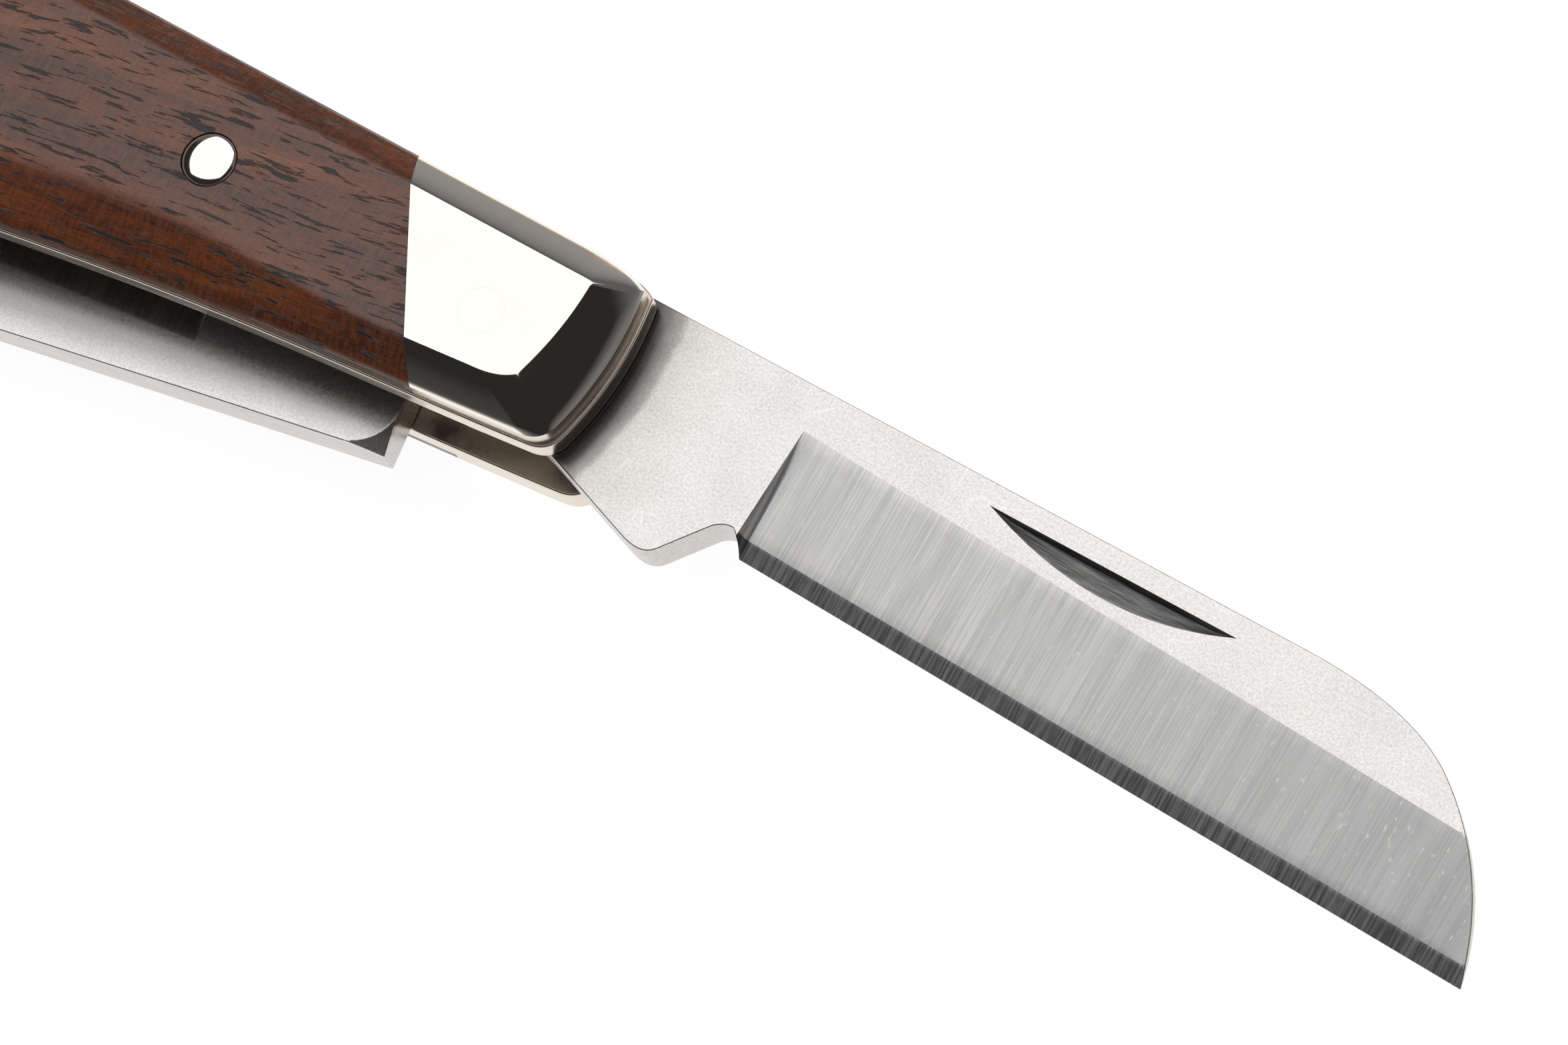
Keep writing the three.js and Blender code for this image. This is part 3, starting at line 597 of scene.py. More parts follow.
def ground_steel(name, contrast, depth, smooth, coarse):
    """Main bevel: close grind lines square to the edge, in pale and dark runs, with short bright nicks.
    The contrast darkens the lines, the depth is the bump's strength, and the roughness runs from
    smooth to coarse. The tone is painted darker towards the tip, as painted shade."""
    made = new_material(name)
    tree = made[1]
    lines = streaks(tree, (9, 0.10, 0.10), 6, 0.75, 0.1)
    runs = streaks(tree, (0.6, 0.05, 0.05), 3, 0.6)
    specks = streaks(tree, (5, 1.8, 2), 4, 0.6)
    tone = mixed(tree, 0.35, shades(tree, lines, (0.43, warm(1 - contrast)), (0.57, warm(1))),
                 shades(tree, runs, (0.42, warm(1 - contrast * 0.6)), (0.58, warm(1))))
    along = split(tree, place_of(tree, attribute="own_place"))[0]
    # Painted shade: the bevel's tone darkens towards the tip.
    painted_tip_shade = mixed(tree, spread(tree, along, 25, 62, 0, 0.55), tone, (0.3, 0.3, 0.3, 1))
    flecks = spread(tree, specks, 0.62, 0.72, 0, 0.7)
    return metal(made, mixed(tree, flecks, painted_tip_shade, (1.0, 0.99, 0.97, 1)),
                 spread(tree, lines, 0.3, 0.7, smooth, coarse), lines, depth, 0.010)


def lined_steel(name, lines, low, high, roughness, strength, distance):
    """Steel with lines that run one way, given as the arguments of streaks, in two tones, with the
    lines cut in by a bump. The roughness is one value, or a range that follows the lines."""
    made = new_material(name)
    tree = made[1]
    marks = streaks(tree, **lines)
    if isinstance(roughness, tuple):
        roughness = spread(tree, marks, 0.3, 0.7, *roughness)
    return metal(made, shades(tree, marks, low, high), roughness, marks, strength, distance)


def rosewood():
    """Oiled rosewood: red-brown bands along a wavering grain, fine fibres and flecks, and clusters of
    long dark pores with ragged borders, which dent the polish."""
    material, tree, shader = new_material("rosewood")
    straight = place_of(tree, math.radians(-8))
    waver = node(tree, "TexNoise", {"Vector": straight, "Scale": 0.09, "Detail": 2})
    bent = node(tree, "VectorMath", {0: waver.outputs["Color"], 1: (2.0, 1.7, 1.5)},
                operation="MULTIPLY")
    grain = node(tree, "VectorMath", {0: straight, 1: bent.outputs[0]},
                 operation="ADD").outputs[0]

    def along(stretch, detail, roughness, distortion=0.0, shift=(0, 0, 0)):
        place = node(tree, "Mapping", {"Vector": grain, "Scale": stretch, "Location": shift})
        return noise(tree, place.outputs[0], 1, detail, roughness, distortion)

    bands = along((0.045, 0.5, 0.5), 5, 0.55, 0.5)
    fibres = along((0.5, 8, 8), 5, 0.65)
    flecks = along((2.6, 9, 9), 3, 0.6, shift=(4, 1, 0))
    ripple = along((5.5, 1.1, 1.1), 2, 0.5, shift=(2, 9, 0))
    pores = along((0.34, 3.6, 3.6), 5, 0.6, 0.15)
    crowd = along((0.09, 0.35, 0.35), 2, 0.5, shift=(1, 5, 0))
    ground_tone = shades(tree, bands, (0.32, (0.026, 0.0055, 0.001)), (0.45, (0.072, 0.0135, 0.0012)),
                         (0.56, (0.125, 0.025, 0.0022)), (0.70, (0.22, 0.055, 0.009)))
    # Darker towards the front end and the slot side.
    x, y, _ = split(tree, straight)
    streak = math_node(tree, "SUBTRACT", math_node(tree, "MULTIPLY", x, 0.06),
                       math_node(tree, "MULTIPLY", y, 0.25))
    darker_front_and_slot = spread(tree, streak, -0.5, 1.0, 0, 0.58)
    fibred = mixed(tree, 0.3, ground_tone,
                   shades(tree, fibres, (0.38, (0.028, 0.006, 0.001)), (0.62, (0.20, 0.045, 0.006))))
    darker = mixed(tree, darker_front_and_slot, fibred, (0.024, 0.007, 0.002, 1))
    flecked = mixed(tree, spread(tree, flecks, 0.40, 0.60, 0.34, 0), darker, (0.02, 0.006, 0.003, 1))
    rippled = mixed(tree, spread(tree, ripple, 0.42, 0.62, 0, 0.2), flecked, (0.23, 0.062, 0.012, 1))
    start = spread(tree, crowd, 0.35, 0.65, 0.60, 0.545)
    dark = spread(tree, math_node(tree, "SUBTRACT", pores, start), 0, 0.035, 0, 0.96)
    feed(tree, shader, {"Base Color": mixed(tree, dark, rippled, (0.007, 0.0055, 0.0055, 1)),
                        "Roughness": spread(tree, dark, 0, 1, 0.27, 0.5), "IOR": 1.7})
    soft = bumped(tree, shader, fibres, 0.10, 0.02)
    bumped(tree, shader, spread(tree, dark, 0, 0.94, 1, 0), 0.35, 0.05, soft)
    return material


def brushed_steel(name, **lines):
    """Spines and springs: brushed along their length."""
    return lined_steel(name, dict(stretch=(0.25, 7, 7), detail=4, roughness=0.65, **lines),
                       (0.3, (0.50, 0.47, 0.45)), (0.7, (0.71, 0.675, 0.645)), (0.22, 0.34), 0.15, 0.012)


nickel = polished_nickel("polished_nickel_silver", (0.94, 0.908, 0.85), 0.06, 0.07, 0.35, (0.6, 14, 6))
liner_metal = polished_nickel("brushed_nickel_silver", (0.82, 0.725, 0.63), 0.27, 0.05, 0, (0.3, 0.3, 18))
# The blade flats carry painted shade: of the bolster's end on the open blade, of the handle on the folded
# ones.
tumbled = tumbled_steel("tumbled_steel", False)
shaded_by_bolster = tumbled_steel("tumbled_steel_bolster_shade", True)
# The cutting edge is ribbed by the coarse wheel, and its dark tone is a painted dark reflection; the nail
# nick has lines along its cut.
edge_finish_painted_dark = lined_steel("edge_steel_painted_dark", dict(stretch=(9, 0.3, 0.3), detail=4, roughness=0.6),
                          (0.40, (0.16, 0.162, 0.165)), (0.62, (0.38, 0.38, 0.38)), 0.36, 0.2, 0.010)
nick_finish = lined_steel("nick_steel", dict(stretch=(0.5, 11, 4), detail=5, roughness=0.7),
                          (0.38, (0.12, 0.12, 0.118)), (0.62, (0.32, 0.317, 0.312)), 0.34, 0.4, 0.02)
ground = ground_steel("ground_steel", 0.42, 0.14, 0.36, 0.46)
satin = ground_steel("satin_steel", 0.2, 0.02, 0.16, 0.22)
spine_finish = brushed_steel("spine_steel")
spring_finish = brushed_steel("spring_steel", turn=math.radians(-3), attribute=None)
wood = rosewood()

FRONT_PIVOT = np.array([0.0, 0.0])
REAR_PIVOT = other_end(FRONT_PIVOT)
SPRING_PIN = from_handle(np.array(0.0), back_v(np.array(0.0)) - PIN_BELOW_BACK)
SCALE_PINS = {"front": np.array(SCALE_PIN), "rear": other_end(np.array(SCALE_PIN))}


def side_height(z, side):
    """Height of a place on a cover made lying on its liner: up on the mark side, or turned down."""
    return z + MARK_COVER_LOW if side == "mark" else COVER_THICKNESS - z


def to_side(points, side):
    """The points of a cover made lying on its liner, moved to its side of the knife."""
    placed = np.array(points, float)
    placed[..., 2] = side_height(placed[..., 2], side)
    return placed


def bolster(side, place):
    """Rings of the cover from one end of the joint line round the handle's end to the other, capped by
    the flat face, the seat on the liner, and the wall against the scale."""
    side_inset, end_inset, z, _ = cover_profile(COVER_THICKNESS, FLAT_ROUND_SHARE)
    outline = half_outline(side_inset, end_inset)
    first, last = joint_places(outline, 0)
    whole_first, whole_last = int(np.ceil(first.max())) + 1, int(np.floor(last.min())) - 1
    even = np.linspace(0, 1, JOINT_POINTS)[None]
    lead = first[:, None] + (whole_first - first)[:, None] * even[:, :-1]
    tail = whole_last + (last - whole_last)[:, None] * even[:, 1:]
    whole = np.arange(whole_first, whole_last + 1)
    middle = np.broadcast_to(whole, (len(z), len(whole)))
    plan = on_rings(outline, np.concatenate([lead, middle, tail], 1))
    if place == "rear":
        plan = other_end(plan)
    rows, columns = plan.shape[:2]
    number = np.arange(rows * columns).reshape(rows, columns)
    faces = quads(rows, columns).tolist()
    faces += [number[-1].tolist(), number[0, ::-1].tolist(),
              number[:, -1].tolist() + number[::-1, 0].tolist()]
    finish = np.zeros(len(faces), int)
    finish[:columns - 1] = 1
    turned_over = (side == "pile") != (place == "rear")
    piece = new_piece(f"{side}_{place}_bolster", to_side(with_height(plan, z), side), faces,
                      [nickel, liner_metal], "handle", finish, inside_out=not turned_over)
    pivot = FRONT_PIVOT if place == "front" else REAR_PIVOT
    bore(piece, straight_bore(PIVOT_RADIUS + PIVOT_RING, pivot))
    return soften(piece, 24)


def scale(side):
    """Sections across the handle, carried from the front joint line to the rear one: up the slot-side
    rim and bevel, over the flat, and down to the back's rim."""
    height = COVER_THICKNESS - SCALE_STEP_DOWN
    side_inset, end_inset, z, share = cover_profile(height, WOOD_ROUND_SHARE)
    outline = half_outline(side_inset, end_inset)
    first, last = joint_places(outline, -JOINT_GAP)
    stations = np.linspace(0, 1, SCALE_STATIONS)
    back = on_rings(outline, first[:, None] * stations)
    slot_end = outline.shape[1] - 1
    slot = on_rings(outline, slot_end + (last - slot_end)[:, None] * stations)
    behind = -WOOD_EXTRA_START - slot[..., 0] + JOINT_X - JOINT_LEAN * slot[..., 1]
    extra = share[:, None] * WOOD_EXTRA_BEVEL * ramp(behind / WOOD_EXTRA_LENGTH)
    slot = slot + extra[..., None] * np.array((-ARCH_SIN, ARCH_COS))
    across = np.linspace(0, 1, ACROSS_POINTS)[1:-1, None, None]
    flat = slot[-1] + (back[-1] - slot[-1]) * across
    plan = np.concatenate([slot, flat, back[::-1]])
    level = np.concatenate([z, np.full(len(flat), height), z[::-1]])
    front = with_height(plan, level).transpose(1, 0, 2)
    rear = front.copy()
    rear[..., :2] = other_end(front[..., :2])
    points = to_side(np.concatenate([rear[:0:-1], front]), side)
    piece = new_piece(f"{side}_scale", points, tube_faces(*points.shape[:2]), [wood], "handle",
                      inside_out=side != "mark")
    seat, shank, head = height - PIN_SINK, PIN_SHANK + BORE_FIT, PIN_HEAD + PIN_RING
    profile = [(r, side_height(z, side)) for r, z in ((shank, -1), (shank, seat), (head, seat),
                                                      (head, height + 1))]
    cutters = [(profile if side == "mark" else profile[::-1], centre) for centre in SCALE_PINS.values()]
    bore(piece, *cutters, straight_bore(SPRING_PIN_RADIUS + PIVOT_RING, SPRING_PIN))
    return soften(piece)


def turned_pin(name, profile, centre):
    """A pin turned from nickel silver."""
    mesh = lathe_mesh(name, profile, centre)
    mesh.materials.append(nickel)
    return soften(enter(name, mesh, "handle"))


def scale_pin(side, place):
    """Domed pin: shank, flat under the head, a short upright rim, and a crown on a superellipse."""
    head_low = COVER_THICKNESS - SCALE_STEP_DOWN - PIN_SINK + SEAT_GAP
    turn = np.linspace(0, np.pi / 2, CROWN_POINTS)
    power = 2 / PIN_FULLNESS
    crown = np.stack([PIN_HEAD * np.cos(turn) ** power, head_low + PIN_RIM
                      + (COVER_THICKNESS - head_low - PIN_RIM) * np.sin(turn) ** power], -1)
    crown[-1, 0] = PIN_HEAD * PIN_TOP
    low = -LINER_THICKNESS - SEAT_GAP
    profile = np.concatenate([[(PIN_SHANK, low), (PIN_SHANK, head_low), (PIN_HEAD, head_low)], crown])
    profile[:, 1] = side_height(profile[:, 1], side)
    return turned_pin(f"{side}_{place}_scale_pin", profile if side == "mark" else profile[::-1],
                      SCALE_PINS[place])


def plain_pin(name, radius, low, high, centre, edge):
    """Straight pin with a small bend round both end faces."""
    turn = np.linspace(0, np.pi / 2, ROUND_POINTS)
    rise = np.stack([radius - edge + edge * np.sin(turn), low + edge - edge * np.cos(turn)], -1)
    fall = rise[::-1] * (1, -1) + (0, low + high)
    return turned_pin(name, np.concatenate([rise, fall]), centre)


def drawn_in(outline, amount):
    """Outline moved inwards along the mean of each point's two edge normals."""
    def unit(ways):
        return ways / np.maximum(np.linalg.norm(ways, axis=1, keepdims=True), 1e-9)

    ahead = unit(np.roll(outline, -1, 0) - outline)
    mean = unit(ahead + np.roll(ahead, 1, 0))
    return outline + np.stack([-mean[:, 1], mean[:, 0]], -1) * amount


def plate(name, outline, low, high, edge, material, bores):
    """Flat plate: a counter-clockwise outline carried up, with a quarter-round edge on both faces."""
    turn = np.linspace(0, np.pi / 2, ROUND_POINTS)
    inset = edge * (1 - np.sin(turn))
    rise = edge * (1 - np.cos(turn))
    z = np.concatenate([low + rise, high - rise[::-1]])
    rings = np.stack([drawn_in(outline, a) for a in np.concatenate([inset, inset[::-1]])])
    piece = new_piece(name, with_height(rings, z), tube_faces(*rings.shape[:2]), [material], "handle")
    bore(piece, *bores)
    return soften(piece)


def spring_depth(u):
    """Depth below the back: the pad at each pivot, the thinner arm, and the boss round the middle pin."""
    pad = BACK_HEIGHT - SPRING_RECESS - TANG_HEIGHT
    arm = BACK_HEIGHT - SPRING_RECESS - SPRING_ARM_FACE
    relieved = ramp((HALF - np.abs(u) - SPRING_PAD) / SPRING_RELIEF)
    boss = PIN_BELOW_BACK - SPRING_RECESS + SPRING_PIN_RADIUS + PIN_WALL - arm
    return pad + (arm - pad) * relieved + boss * (1 - ramp((np.abs(u) - SPRING_PIN_RADIUS) / BOSS_LENGTH))


def spring_outline():
    """Strip under the back, closed by a square end beside each blade's shoulder."""
    u = (HALF + STRIP_PAST_PIVOTS) * np.linspace(1, -1, SPRING_POINTS)
    outer = from_handle(u, back_v(u) - SPRING_RECESS)
    inner = from_handle(u, back_v(u) - SPRING_RECESS - spring_depth(u) / ARCH_COS)[::-1]
    x = SHOULDER_X - SPRING_END_GAP
    end = np.array([(x, BACK_HEIGHT - SPRING_RECESS - SPRING_END_ROUND), (x, TANG_HEIGHT)])
    return np.concatenate([end[:1], outer, other_end(end), inner, end[1:]])


for side_name in ("mark", "pile"):
    scale(side_name)
    for end_name in ("front", "rear"):
        bolster(side_name, end_name)
        scale_pin(side_name, end_name)

plain_pin("front_pivot_pin", PIVOT_RADIUS, 0, TOTAL, FRONT_PIVOT, PIVOT_EDGE)
plain_pin("rear_pivot_pin", PIVOT_RADIUS, 0, TOTAL, REAR_PIVOT, PIVOT_EDGE)
plain_pin("spring_pin", SPRING_PIN_RADIUS, SCALE_STEP_DOWN, TOTAL - SCALE_STEP_DOWN, SPRING_PIN,
          SPRING_PIN_EDGE)

pin_bore = straight_bore(SPRING_PIN_RADIUS + BORE_FIT, SPRING_PIN)
liner_bores = [straight_bore(PIVOT_RADIUS + BORE_FIT, pivot) for pivot in (FRONT_PIVOT, REAR_PIVOT)]
liner_bores += [pin_bore, *(straight_bore(PIN_SHANK + BORE_FIT, pin) for pin in SCALE_PINS.values())]
for side_name, liner_low in (("mark", MARK_LINER_LOW), ("pile", PILE_LINER_LOW)):
    plate(f"{side_name}_liner", whole_outline(0, 0), liner_low, liner_low + LINER_THICKNESS, LINER_ROUND,
          liner_metal, liner_bores)
plate("mark_spring", spring_outline(), MARK_SLOT_LOW, MARK_SLOT_LOW + SLOT_WIDTH, PLATE_ROUND,
      spring_finish, [pin_bore])


def own_outline(blade):
    """Lower and upper boundary of an open blade as x, y polylines: the round tang, its closed flat, the
    kick, the notch and the edge below; the shoulder, the spine and the nose above."""
    radius, closed = TANG_HEIGHT - TANG_GAP, blade["closed"]

    def round_end(last):
        turn = np.linspace(np.pi, last, 20)
        return radius * np.stack([np.cos(turn), np.sin(turn)], -1)

    low = [round_end(np.pi / 2 + closed)]
    flat_way = np.array([-math.cos(closed), -math.sin(closed)])
    flat_end = low[0][-1] + flat_way * TANG_FLAT
    kick_face = SPRING_ARM_FACE - TANG_GAP
    kick = np.array([KICK_X, (kick_face + KICK_X * math.sin(closed)) / math.cos(closed)])
    slope = (kick - flat_end) / np.linalg.norm(kick - flat_end)
    notch_foot = np.array([NOTCH_X - NOTCH_ROUND * 2.2, -NOTCH_TOP - NOTCH_ROUND])
    rise = (notch_foot - kick) / np.linalg.norm(notch_foot - kick)
    low.append(bend(flat_end - flat_way * TANG_EASE, flat_end, flat_end + slope * TANG_EASE, 16))
    low.append(bend(kick - slope * KICK_FLAT, kick, kick + rise * KICK_ROUND, 12))
    low.append(bend(notch_foot, (NOTCH_X - NOTCH_ROUND, -NOTCH_TOP + NOTCH_ROUND * 0.1),
                    (NOTCH_X + 0.1, -NOTCH_TOP), 10))
    low.append(np.array([(PLUNGE_X, -NOTCH_TOP - 0.3), (HEEL_X, edge_y(blade, HEEL_X))]))
    along = np.linspace(HEEL_X, blade["tip"], 80)[1:]
    low.append(np.stack([along, edge_y(blade, along)], -1))
    low = np.concatenate(low)
    shoulder = [(SHOULDER_X, radius), (SHOULDER_X + 0.02, blade["spine"])]
    return low, np.concatenate([round_end(np.pi / 2), shoulder, nose_line(blade)[::-1]])


def edge_y(blade, x):
    """Edge: a gentle fall from the heel, and a belly that rises by a power towards the tip."""
    past = np.maximum(0, x - blade["belly_start"]) / max(1, blade["tip"] - blade["belly_start"])
    return HEEL_Y - blade["edge_fall"] * (x - HEEL_X) + blade["belly_rise"] * past ** blade["belly_power"]


def nose_line(blade):
    """From the tip back to the spine: two bends for a sheepsfoot, a hollow fall for a clip, one bend
    for a spey."""
    nose, tip, spine = blade["nose"], blade["tip"], blade["spine"]
    foot = float(edge_y(blade, tip))

    def from_tip(back, drop):
        return np.array([tip - back, spine - drop])

    if "brow_back" in nose:
        brow = from_tip(nose["brow_back"], nose["brow_drop"])
        front = bend((tip, foot), from_tip(nose["nose_back"], nose["nose_drop"]), brow, 22)
        top = bend(brow, from_tip(nose["bend_back"], 0), from_tip(nose["spine_back"], 0), 16)
        return np.concatenate([front, top[1:]])
    if "clip_start" in nose:
        share = np.linspace(1, 0, 30)
        fall = spine - foot - nose["point_rise"]
        sag = nose["clip_sag"]
        x = nose["clip_start"] + (tip - nose["clip_start"]) * share
        return np.stack([x, spine - fall * ((1 + sag) * share - sag * share**2)], -1)
    return bend((tip, foot + nose["point_rise"]), from_tip(nose["bend_back"], nose["bend_drop"]),
                from_tip(nose["spine_back"], 0), 24)


def thickness(blade, x):
    """Full thickness along the blade: even over the tang, then an even taper to the tip."""
    if "crink" in blade:
        bent = blade["crink"]
        return np.interp(x, [*bent, blade["tip"]],
                         [BLADE_THICKNESS, blade["body_thickness"], blade["tip_thickness"]])
    return np.interp(x, [PLUNGE_X, blade["tip"]], [BLADE_THICKNESS, blade["tip_thickness"]])


def crink_depth(blade, x):
    """Depth of the outer face for a blade that is bent to the knife's middle."""
    if "crink" not in blade:
        return 0 * x
    middle = MARK_BLADE_FACE - TOTAL / 2
    share = np.interp(x, blade["crink"], [0, 1])
    settled = middle - np.interp(x, [blade["crink"][1], blade["tip"]],
                                 [blade["body_thickness"], blade["tip_thickness"]]) / 2
    return settled * share


def nick_drop(blade, x):
    """How far the nail nick's curved border lies below its straight one."""
    start, end, _, drop = blade["nick"]
    t = np.linspace(0, 1, 60)
    control = (start + end * 1.2) / 2.2
    return np.interp(x, (1 - t) ** 2 * start + 2 * t * (1 - t) * control + t**2 * end,
                     4 * t * (1 - t) * drop, left=0, right=0)


def columns_of(low, high, blade):
    """Places along the blade where a section is taken: every bend of the outline, the plunge's curve,
    the nick, and an even walk between."""
    tip = blade["tip"]
    plunge = PLUNGE_X + PLUNGE_WIDTH * (1 - np.cos(np.linspace(0, np.pi / 2, 9)))
    start, end = blade["nick"][:2]
    x = np.concatenate([low[:, 0], high[:, 0], plunge, [PLUNGE_X - 0.012], np.linspace(start, end, 40),
                        SHOULDER_X + SHOULDER_RELIEF * np.linspace(0.02, 1, 44),
                        np.arange(-2, tip, 0.6), tip - np.geomspace(0.01, 2, 14)])
    x = np.unique(np.round(x, 4))
    return x[np.concatenate([[True], np.diff(x) > 0.004])]


def bevel_line(blade, x):
    """Upper border of the main bevel: it falls evenly towards the tip."""
    return blade["bevel_top"] - blade["bevel_fall"] * (x - PLUNGE_X)


def within(line, low, high, room):
    """A border kept between two shares of the room from a lower line to a higher one."""
    return np.clip(line, low + room[0] * (high - low), low + room[1] * (high - low))


def blade_grid(blade):
    """Sections of a blade at each column. A section is a closed loop: up the outer face from the edge,
    over the spine, and down the inner face. Half the thickness is a straight wedge in the edge bevel
    and the main bevel, even above them, rounded off at the outline, and hollowed by the nick. Beyond
    an arc at the shoulder's corner the inner face is relieved by a slope."""
    low_line, high_line = own_outline(blade)
    x = columns_of(low_line, high_line, blade)
    low = np.interp(x, low_line[:, 0], low_line[:, 1])
    high = np.interp(x, high_line[:, 0], high_line[:, 1])
    steep_low, steep_high = np.abs(np.gradient(low, x)), np.abs(np.gradient(high, x))
    # From here on each value along the blade is a column, beside the rows of the section.
    x, low, high, steep_low, steep_high = (a[:, None] for a in (x, low, high, steep_low, steep_high))
    tall = np.maximum(high - low, 1e-3)
    bladed = x > PLUNGE_X
    half = thickness(blade, x) / 2
    middle = crink_depth(blade, x) + half
    edge_low = np.where(x > HEEL_X, low, edge_y(blade, x))
    round_low = np.where(bladed, 0.01, np.minimum(SPINE_ROUND * np.hypot(1, steep_low), tall * 0.3))
    round_high = np.minimum(SPINE_ROUND * np.hypot(1, steep_high), tall * 0.3)
    foot, head = low + round_low, high - round_high
    true_bevel, true_micro = bevel_line(blade, x), edge_low + MICRO_BEVEL
    bevel = within(true_bevel, foot, head, BEVEL_ROOM)
    micro = within(true_micro, foot, bevel, MICRO_ROOM)
    drop, nick_top = nick_drop(blade, x), blade["nick"][2]
    top_line = within(nick_top + 0 * x, bevel, head, NICK_ROOM)
    low_nick = np.maximum(top_line - np.maximum(drop, 0.03), bevel + 0.1 * (top_line - bevel))
    wall = np.minimum(NICK_WALL, 0.4 * (top_line - low_nick))
    turn = np.linspace(0, 1, ROUND_POINTS)[None] * np.pi / 2
    marks = [foot, micro, bevel, low_nick, top_line - wall, top_line, head]
    rows = [low + round_low * (1 - np.cos(turn[:, :-1]))]
    for below, above, count in zip(marks[:-1], marks[1:], ROW_COUNTS):
        rows.append(below + (above - below) * np.linspace(0, 1, count, endpoint=False)[None])
    rows.append(high - round_high * (1 - np.cos(turn[:, ::-1])))
    y = np.concatenate(rows, 1)
    bands = np.repeat(np.arange(8), [ROUND_POINTS - 1, *ROW_COUNTS, ROUND_POINTS])
    wedge = np.where(
        y < true_micro,
        EDGE_FLAT + (MICRO_SPREAD - EDGE_FLAT) * (y - edge_low) / MICRO_BEVEL,
        MICRO_SPREAD + (half - MICRO_SPREAD) * (y - true_micro) / (true_bevel - true_micro),
    )
    into = np.clip((x - PLUNGE_X) / PLUNGE_WIDTH, 0, 1)
    body = half + (np.minimum(wedge, half) - half) * np.sqrt(1 - (1 - into) ** 2)
    near_low = np.clip((y - low) / round_low, 0, 1)
    near_high = np.clip((high - y) / round_high, 0, 1)
    worn = (1 - np.sqrt(1 - (1 - near_low) ** 2)) * np.where(bladed, 0, 1)
    worn = worn + (1 - np.sqrt(1 - (1 - near_high) ** 2))
    body = np.maximum(body - SPINE_ROUND * worn, EDGE_FLAT * 0.5)
    deep = NICK_DEPTH * (drop / blade["nick"][3]) ** 0.8
    past_wall = (top_line - y) / wall
    slope = 1 - (top_line - wall - y) / np.maximum(drop - wall, 1e-3)
    hollow = deep * np.clip(np.minimum(past_wall, slope), 0, 1)
    corner_x, corner_y = SHOULDER_X + SHOULDER_RELIEF, blade["spine"] - SHOULDER_RELIEF
    past = np.hypot(np.minimum(x - corner_x, 0), np.maximum(y - corner_y, 0)) - SHOULDER_RELIEF
    relief = RELIEF_SLOPE * np.maximum(past, 0) * (x > SHOULDER_X - 0.01)
    wide = np.broadcast_to(x, y.shape)
    outer = np.stack([wide, y, middle - body + hollow], -1)
    inner = np.stack([wide, y, middle + body - relief], -1)
    return np.concatenate([outer, inner[:, ::-1]], 1), bands


def blade_piece(name, blade, body, place, pivot, flat_finish, bevel_finish):
    """The blade's sections joined into a closed body, each band with its finish, moved to its slot."""
    loop, bands = blade_grid(blade)
    columns, around = loop.shape[:2]
    faces = quads(columns, around, wrap=True)
    side = np.concatenate([bands[:-1], [SPINE_BAND], bands[:-1][::-1], [EDGE_BAND]])
    band = np.tile(side, columns - 1)
    outer_side = np.tile(np.arange(around) < len(bands) - 1, columns - 1)
    at, high_at = loop.reshape(-1, 3)[faces][:, :, :2].mean(1).T
    bladed = at > PLUNGE_X
    start, end = blade["nick"][:2]
    finish = np.full(len(faces), FLAT_FINISH)
    finish[band >= SPINE_BAND] = SPINE_FINISH
    faced = bladed & (band < SPINE_BAND)
    finish[faced & (high_at < bevel_line(blade, at))] = BEVEL_FINISH
    finish[faced & (high_at < edge_y(blade, at) + MICRO_BEVEL)] = EDGE_FINISH
    finish[bladed & (band == EDGE_BAND)] = EDGE_FINISH
    in_nick = (at > start) & (at < end) & outer_side
    finish[in_nick & np.isin(band, NICK_BANDS)] = NICK_FINISH
    placed = np.concatenate([loop.reshape(-1, 3), np.ones((loop[..., 0].size, 1))], 1) @ place.T
    mirrored = np.linalg.det(place[:3, :3]) < 0
    finishes = [flat_finish, bevel_finish, edge_finish_painted_dark, nick_finish, spine_finish]
    piece = new_piece(name, placed[:, :3], faces, finishes, body, finish,
                      inside_out=not mirrored)
    own = piece.data.attributes.new("own_place", "FLOAT_VECTOR", "POINT")
    own.data.foreach_set("vector", loop.astype(np.float32).ravel())
    merge(piece)
    bore(piece, straight_bore(PIVOT_RADIUS + PIN_PLAY, pivot))
    return soften(piece, 28)

def turned(angle):
    """A turn about the pivot's axis, as a 4 by 4 matrix."""
    made = np.eye(4)
    made[:2, :2] = [[math.cos(angle), -math.sin(angle)], [math.sin(angle), math.cos(angle)]]
    return made


def in_slot(flip, height):
    """A blade's place with its outer face at a height, turned over by a flip of -1."""
    made = np.diag([1.0, 1, flip, 1])
    made[2, 3] = height
    return made


def to_rear_end():
    """Mirror across the plane half way between the pivots."""
    along = REAR_PIVOT / np.linalg.norm(REAR_PIVOT)
    made = np.eye(4)
    made[:2, :2] -= 2 * np.outer(along, along)
    made[:2, 3] = REAR_PIVOT
    return made


in_mark_slot, in_pile_slot = in_slot(-1, MARK_BLADE_FACE), in_slot(1, PILE_BLADE_FACE)
blade_piece("sheepsfoot_blade", SHEEPSFOOT, "sheepsfoot", in_mark_slot, FRONT_PIVOT, shaded_by_bolster, ground)
blade_piece("clip_blade", CLIP, "clip", in_pile_slot @ turned(-CLIP["closed"]), FRONT_PIVOT,
            tumbled, satin)
blade_piece("spey_blade", SPEY, "spey", to_rear_end() @ in_mark_slot @ turned(-SPEY["closed"]),
            REAR_PIVOT, tumbled, satin)

# CAD nodes that stay as they are take the finished materials.
for name, material, slot in (("center_liner", liner_metal, "nickel_silver"),
                             ("pile_spring", spring_finish, "spring_steel")):
    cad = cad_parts[name]
    cad.data.materials.clear()
    cad.data.materials.append(material)

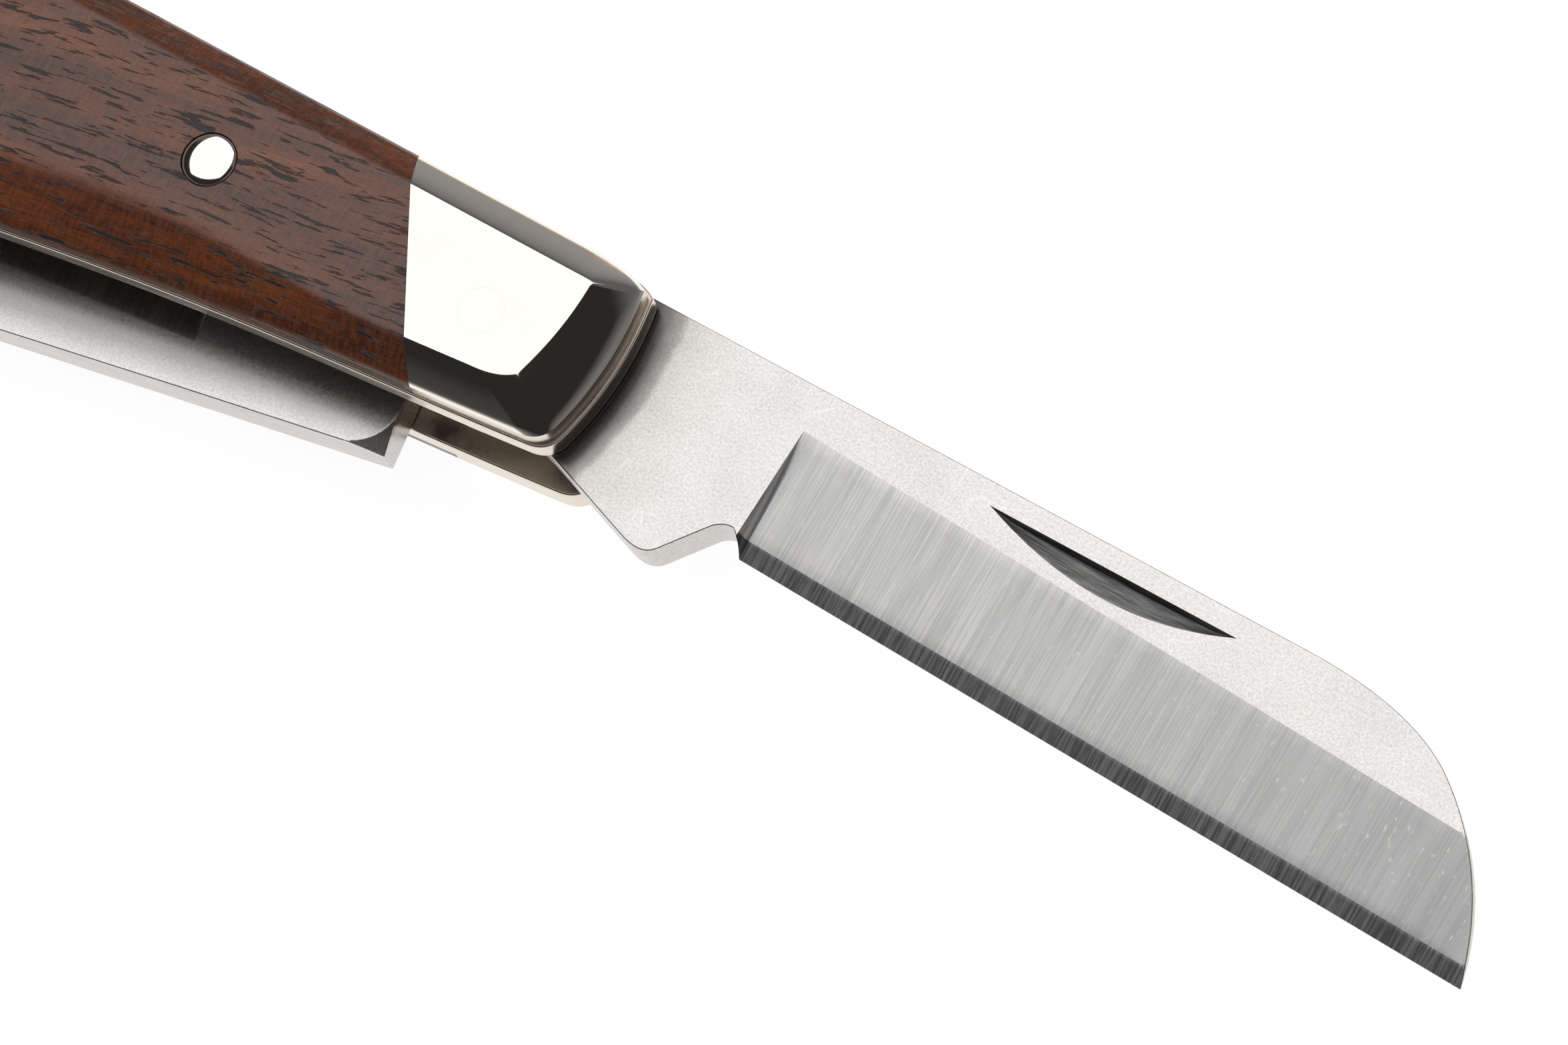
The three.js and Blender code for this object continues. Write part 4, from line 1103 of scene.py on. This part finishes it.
# Floor: pale, and a hair under the face that the knife lies on, so that the two never coincide. Metal
# sees it pale near the knife and dim further off.
FLOOR_SIZE = 3.0
FLOOR_GAP = 0.00002
FLOOR_SEEN, FLOOR_MIRRORED, FLOOR_GLOW = 0.88, 0.92, 1.06
corners = FLOOR_SIZE / 2 * np.array([(-1, -1), (1, -1), (1, 1), (-1, 1)])
floor_mesh = bpy.data.meshes.new("floor")
floor_mesh.from_pydata([(x, y, -FLOOR_GAP) for x, y in corners.tolist()], [], [(0, 1, 2, 3)])
floor = new_object("floor", floor_mesh)
floor_material, tree, shader = new_material("pale_floor")
feed(tree, shader, {"Base Color": (0.9, 0.895, 0.885, 1), "Roughness": 0.9})
ray = node(tree, "LightPath").outputs
away = node(tree, "VectorMath", {0: node(tree, "TexCoord").outputs["Object"]},
            operation="LENGTH").outputs["Value"]
in_steel = shades(tree, spread(tree, away, 0.04, 0.35), (0, (1, 1, 1)), (0.35, (0.80, 0.72, 0.63)),
                  (1, (0.28, 0.23, 0.19)))
shown = mixed(tree, ray["Is Glossy Ray"], (1, 1, 1, 1), in_steel)
glow = node(tree, "Emission", {"Color": shown, "Strength": FLOOR_GLOW})
seen = math_node(tree, "MAXIMUM", math_node(tree, "MULTIPLY", ray["Is Camera Ray"], FLOOR_SEEN),
                 math_node(tree, "MULTIPLY", ray["Is Glossy Ray"], FLOOR_MIRRORED))
keep = node(tree, "MixShader", {0: seen, 1: shader.outputs[0], 2: glow.outputs[0]})
tree.links.new(keep.outputs[0], tree.nodes["Material Output"].inputs["Surface"])
floor_mesh.materials.append(floor_material)

# World: a dim room, as metal sees it, that is lighter near the horizon, to the back and to the tip.
ROOM_LIGHT = 0.70
ROOM_DARK, WALL_GLOW, HORIZON_GLOW, END_GLOW = 0.021, 0.09, 0.17, 0.17
world = bpy.data.worlds.new("room")
bpy.context.scene.world = world
world.use_nodes = True
tree = world.node_tree
glossy = node(tree, "LightPath").outputs["Is Glossy Ray"]
to_tip, to_back, rise = split(tree, node(tree, "TexCoord").outputs["Object"])
walls = math_node(tree, "MAXIMUM", spread(tree, rise, 0.28, 0.5, ROOM_DARK + WALL_GLOW, ROOM_DARK),
                  spread(tree, to_back, 0.28, 0.42, 0, ROOM_DARK + WALL_GLOW))
walls = math_node(tree, "MAXIMUM", walls, spread(tree, to_tip, 0.68, 0.86, 0, END_GLOW))
in_metal = math_node(tree, "ADD", walls, spread(tree, rise, 0.02, 0.26, HORIZON_GLOW, 0))
strength = node(tree, "Mix", {0: glossy, 2: ROOM_LIGHT, 3: in_metal}, data_type="FLOAT")
feed(tree, tree.nodes["Background"], {"Color": (1, 0.99, 0.98, 1), "Strength": strength.outputs[0]})

# Softbox: a rectangular lamp on a direction from the knife, in metres, facing it, its width along X.
# Its power is pi times its area times how bright it looks in a mirror.
LAMP_WAY = Vector((-0.281, 0.385, 1)).normalized()
LAMP_DISTANCE, LAMP_WIDTH, LAMP_HEIGHT, LAMP_BRIGHTNESS = 1.2, 1.12, 1.37, 1.12
lamp = bpy.data.lights.new("key_softbox", "AREA")
lamp.shape, lamp.size, lamp.size_y = "RECTANGLE", LAMP_WIDTH, LAMP_HEIGHT
lamp.energy = math.pi * LAMP_WIDTH * LAMP_HEIGHT * LAMP_BRIGHTNESS
across = (Vector((1, 0, 0)) - LAMP_WAY * LAMP_WAY.x).normalized()
turn = Matrix((across, LAMP_WAY.cross(across), LAMP_WAY)).transposed()
softbox = new_object("key_softbox", lamp)
softbox.matrix_world = Matrix.Translation(LAMP_WAY * LAMP_DISTANCE) @ turn.to_4x4()

# Camera at the photograph's angle.
PHOTO_WIDTH, PHOTO_HEIGHT = 2352, 1568
FOCAL_PIXELS = 9690
SENSOR_MM = 36
DISTANCE = 340
TARGET = Vector((19.5604, -1.3762, 9.9))
TOWARDS_CAMERA = Vector((0.378, -0.213, 1)).normalized()
ROLL = 0.575167
camera_data = bpy.data.cameras.new("camera")
camera_data.sensor_width = SENSOR_MM
camera_data.sensor_fit = "HORIZONTAL"
camera_data.lens = SENSOR_MM * FOCAL_PIXELS / PHOTO_WIDTH
camera_data.clip_start, camera_data.clip_end = 0.01, 20
camera = new_object("camera", camera_data)
level_right = (-TOWARDS_CAMERA).cross(Vector((0, 1, 0))).normalized()
level_up = level_right.cross(-TOWARDS_CAMERA)
right = level_right * math.cos(ROLL) + level_up * math.sin(ROLL)
up = level_up * math.cos(ROLL) - level_right * math.sin(ROLL)
camera.matrix_world = Matrix.Translation((TARGET + TOWARDS_CAMERA * DISTANCE) * MM) @ Matrix(
    (right, up, TOWARDS_CAMERA)).transposed().to_4x4()
bpy.context.scene.camera = camera
bpy.context.scene.view_settings.view_transform = "Standard"
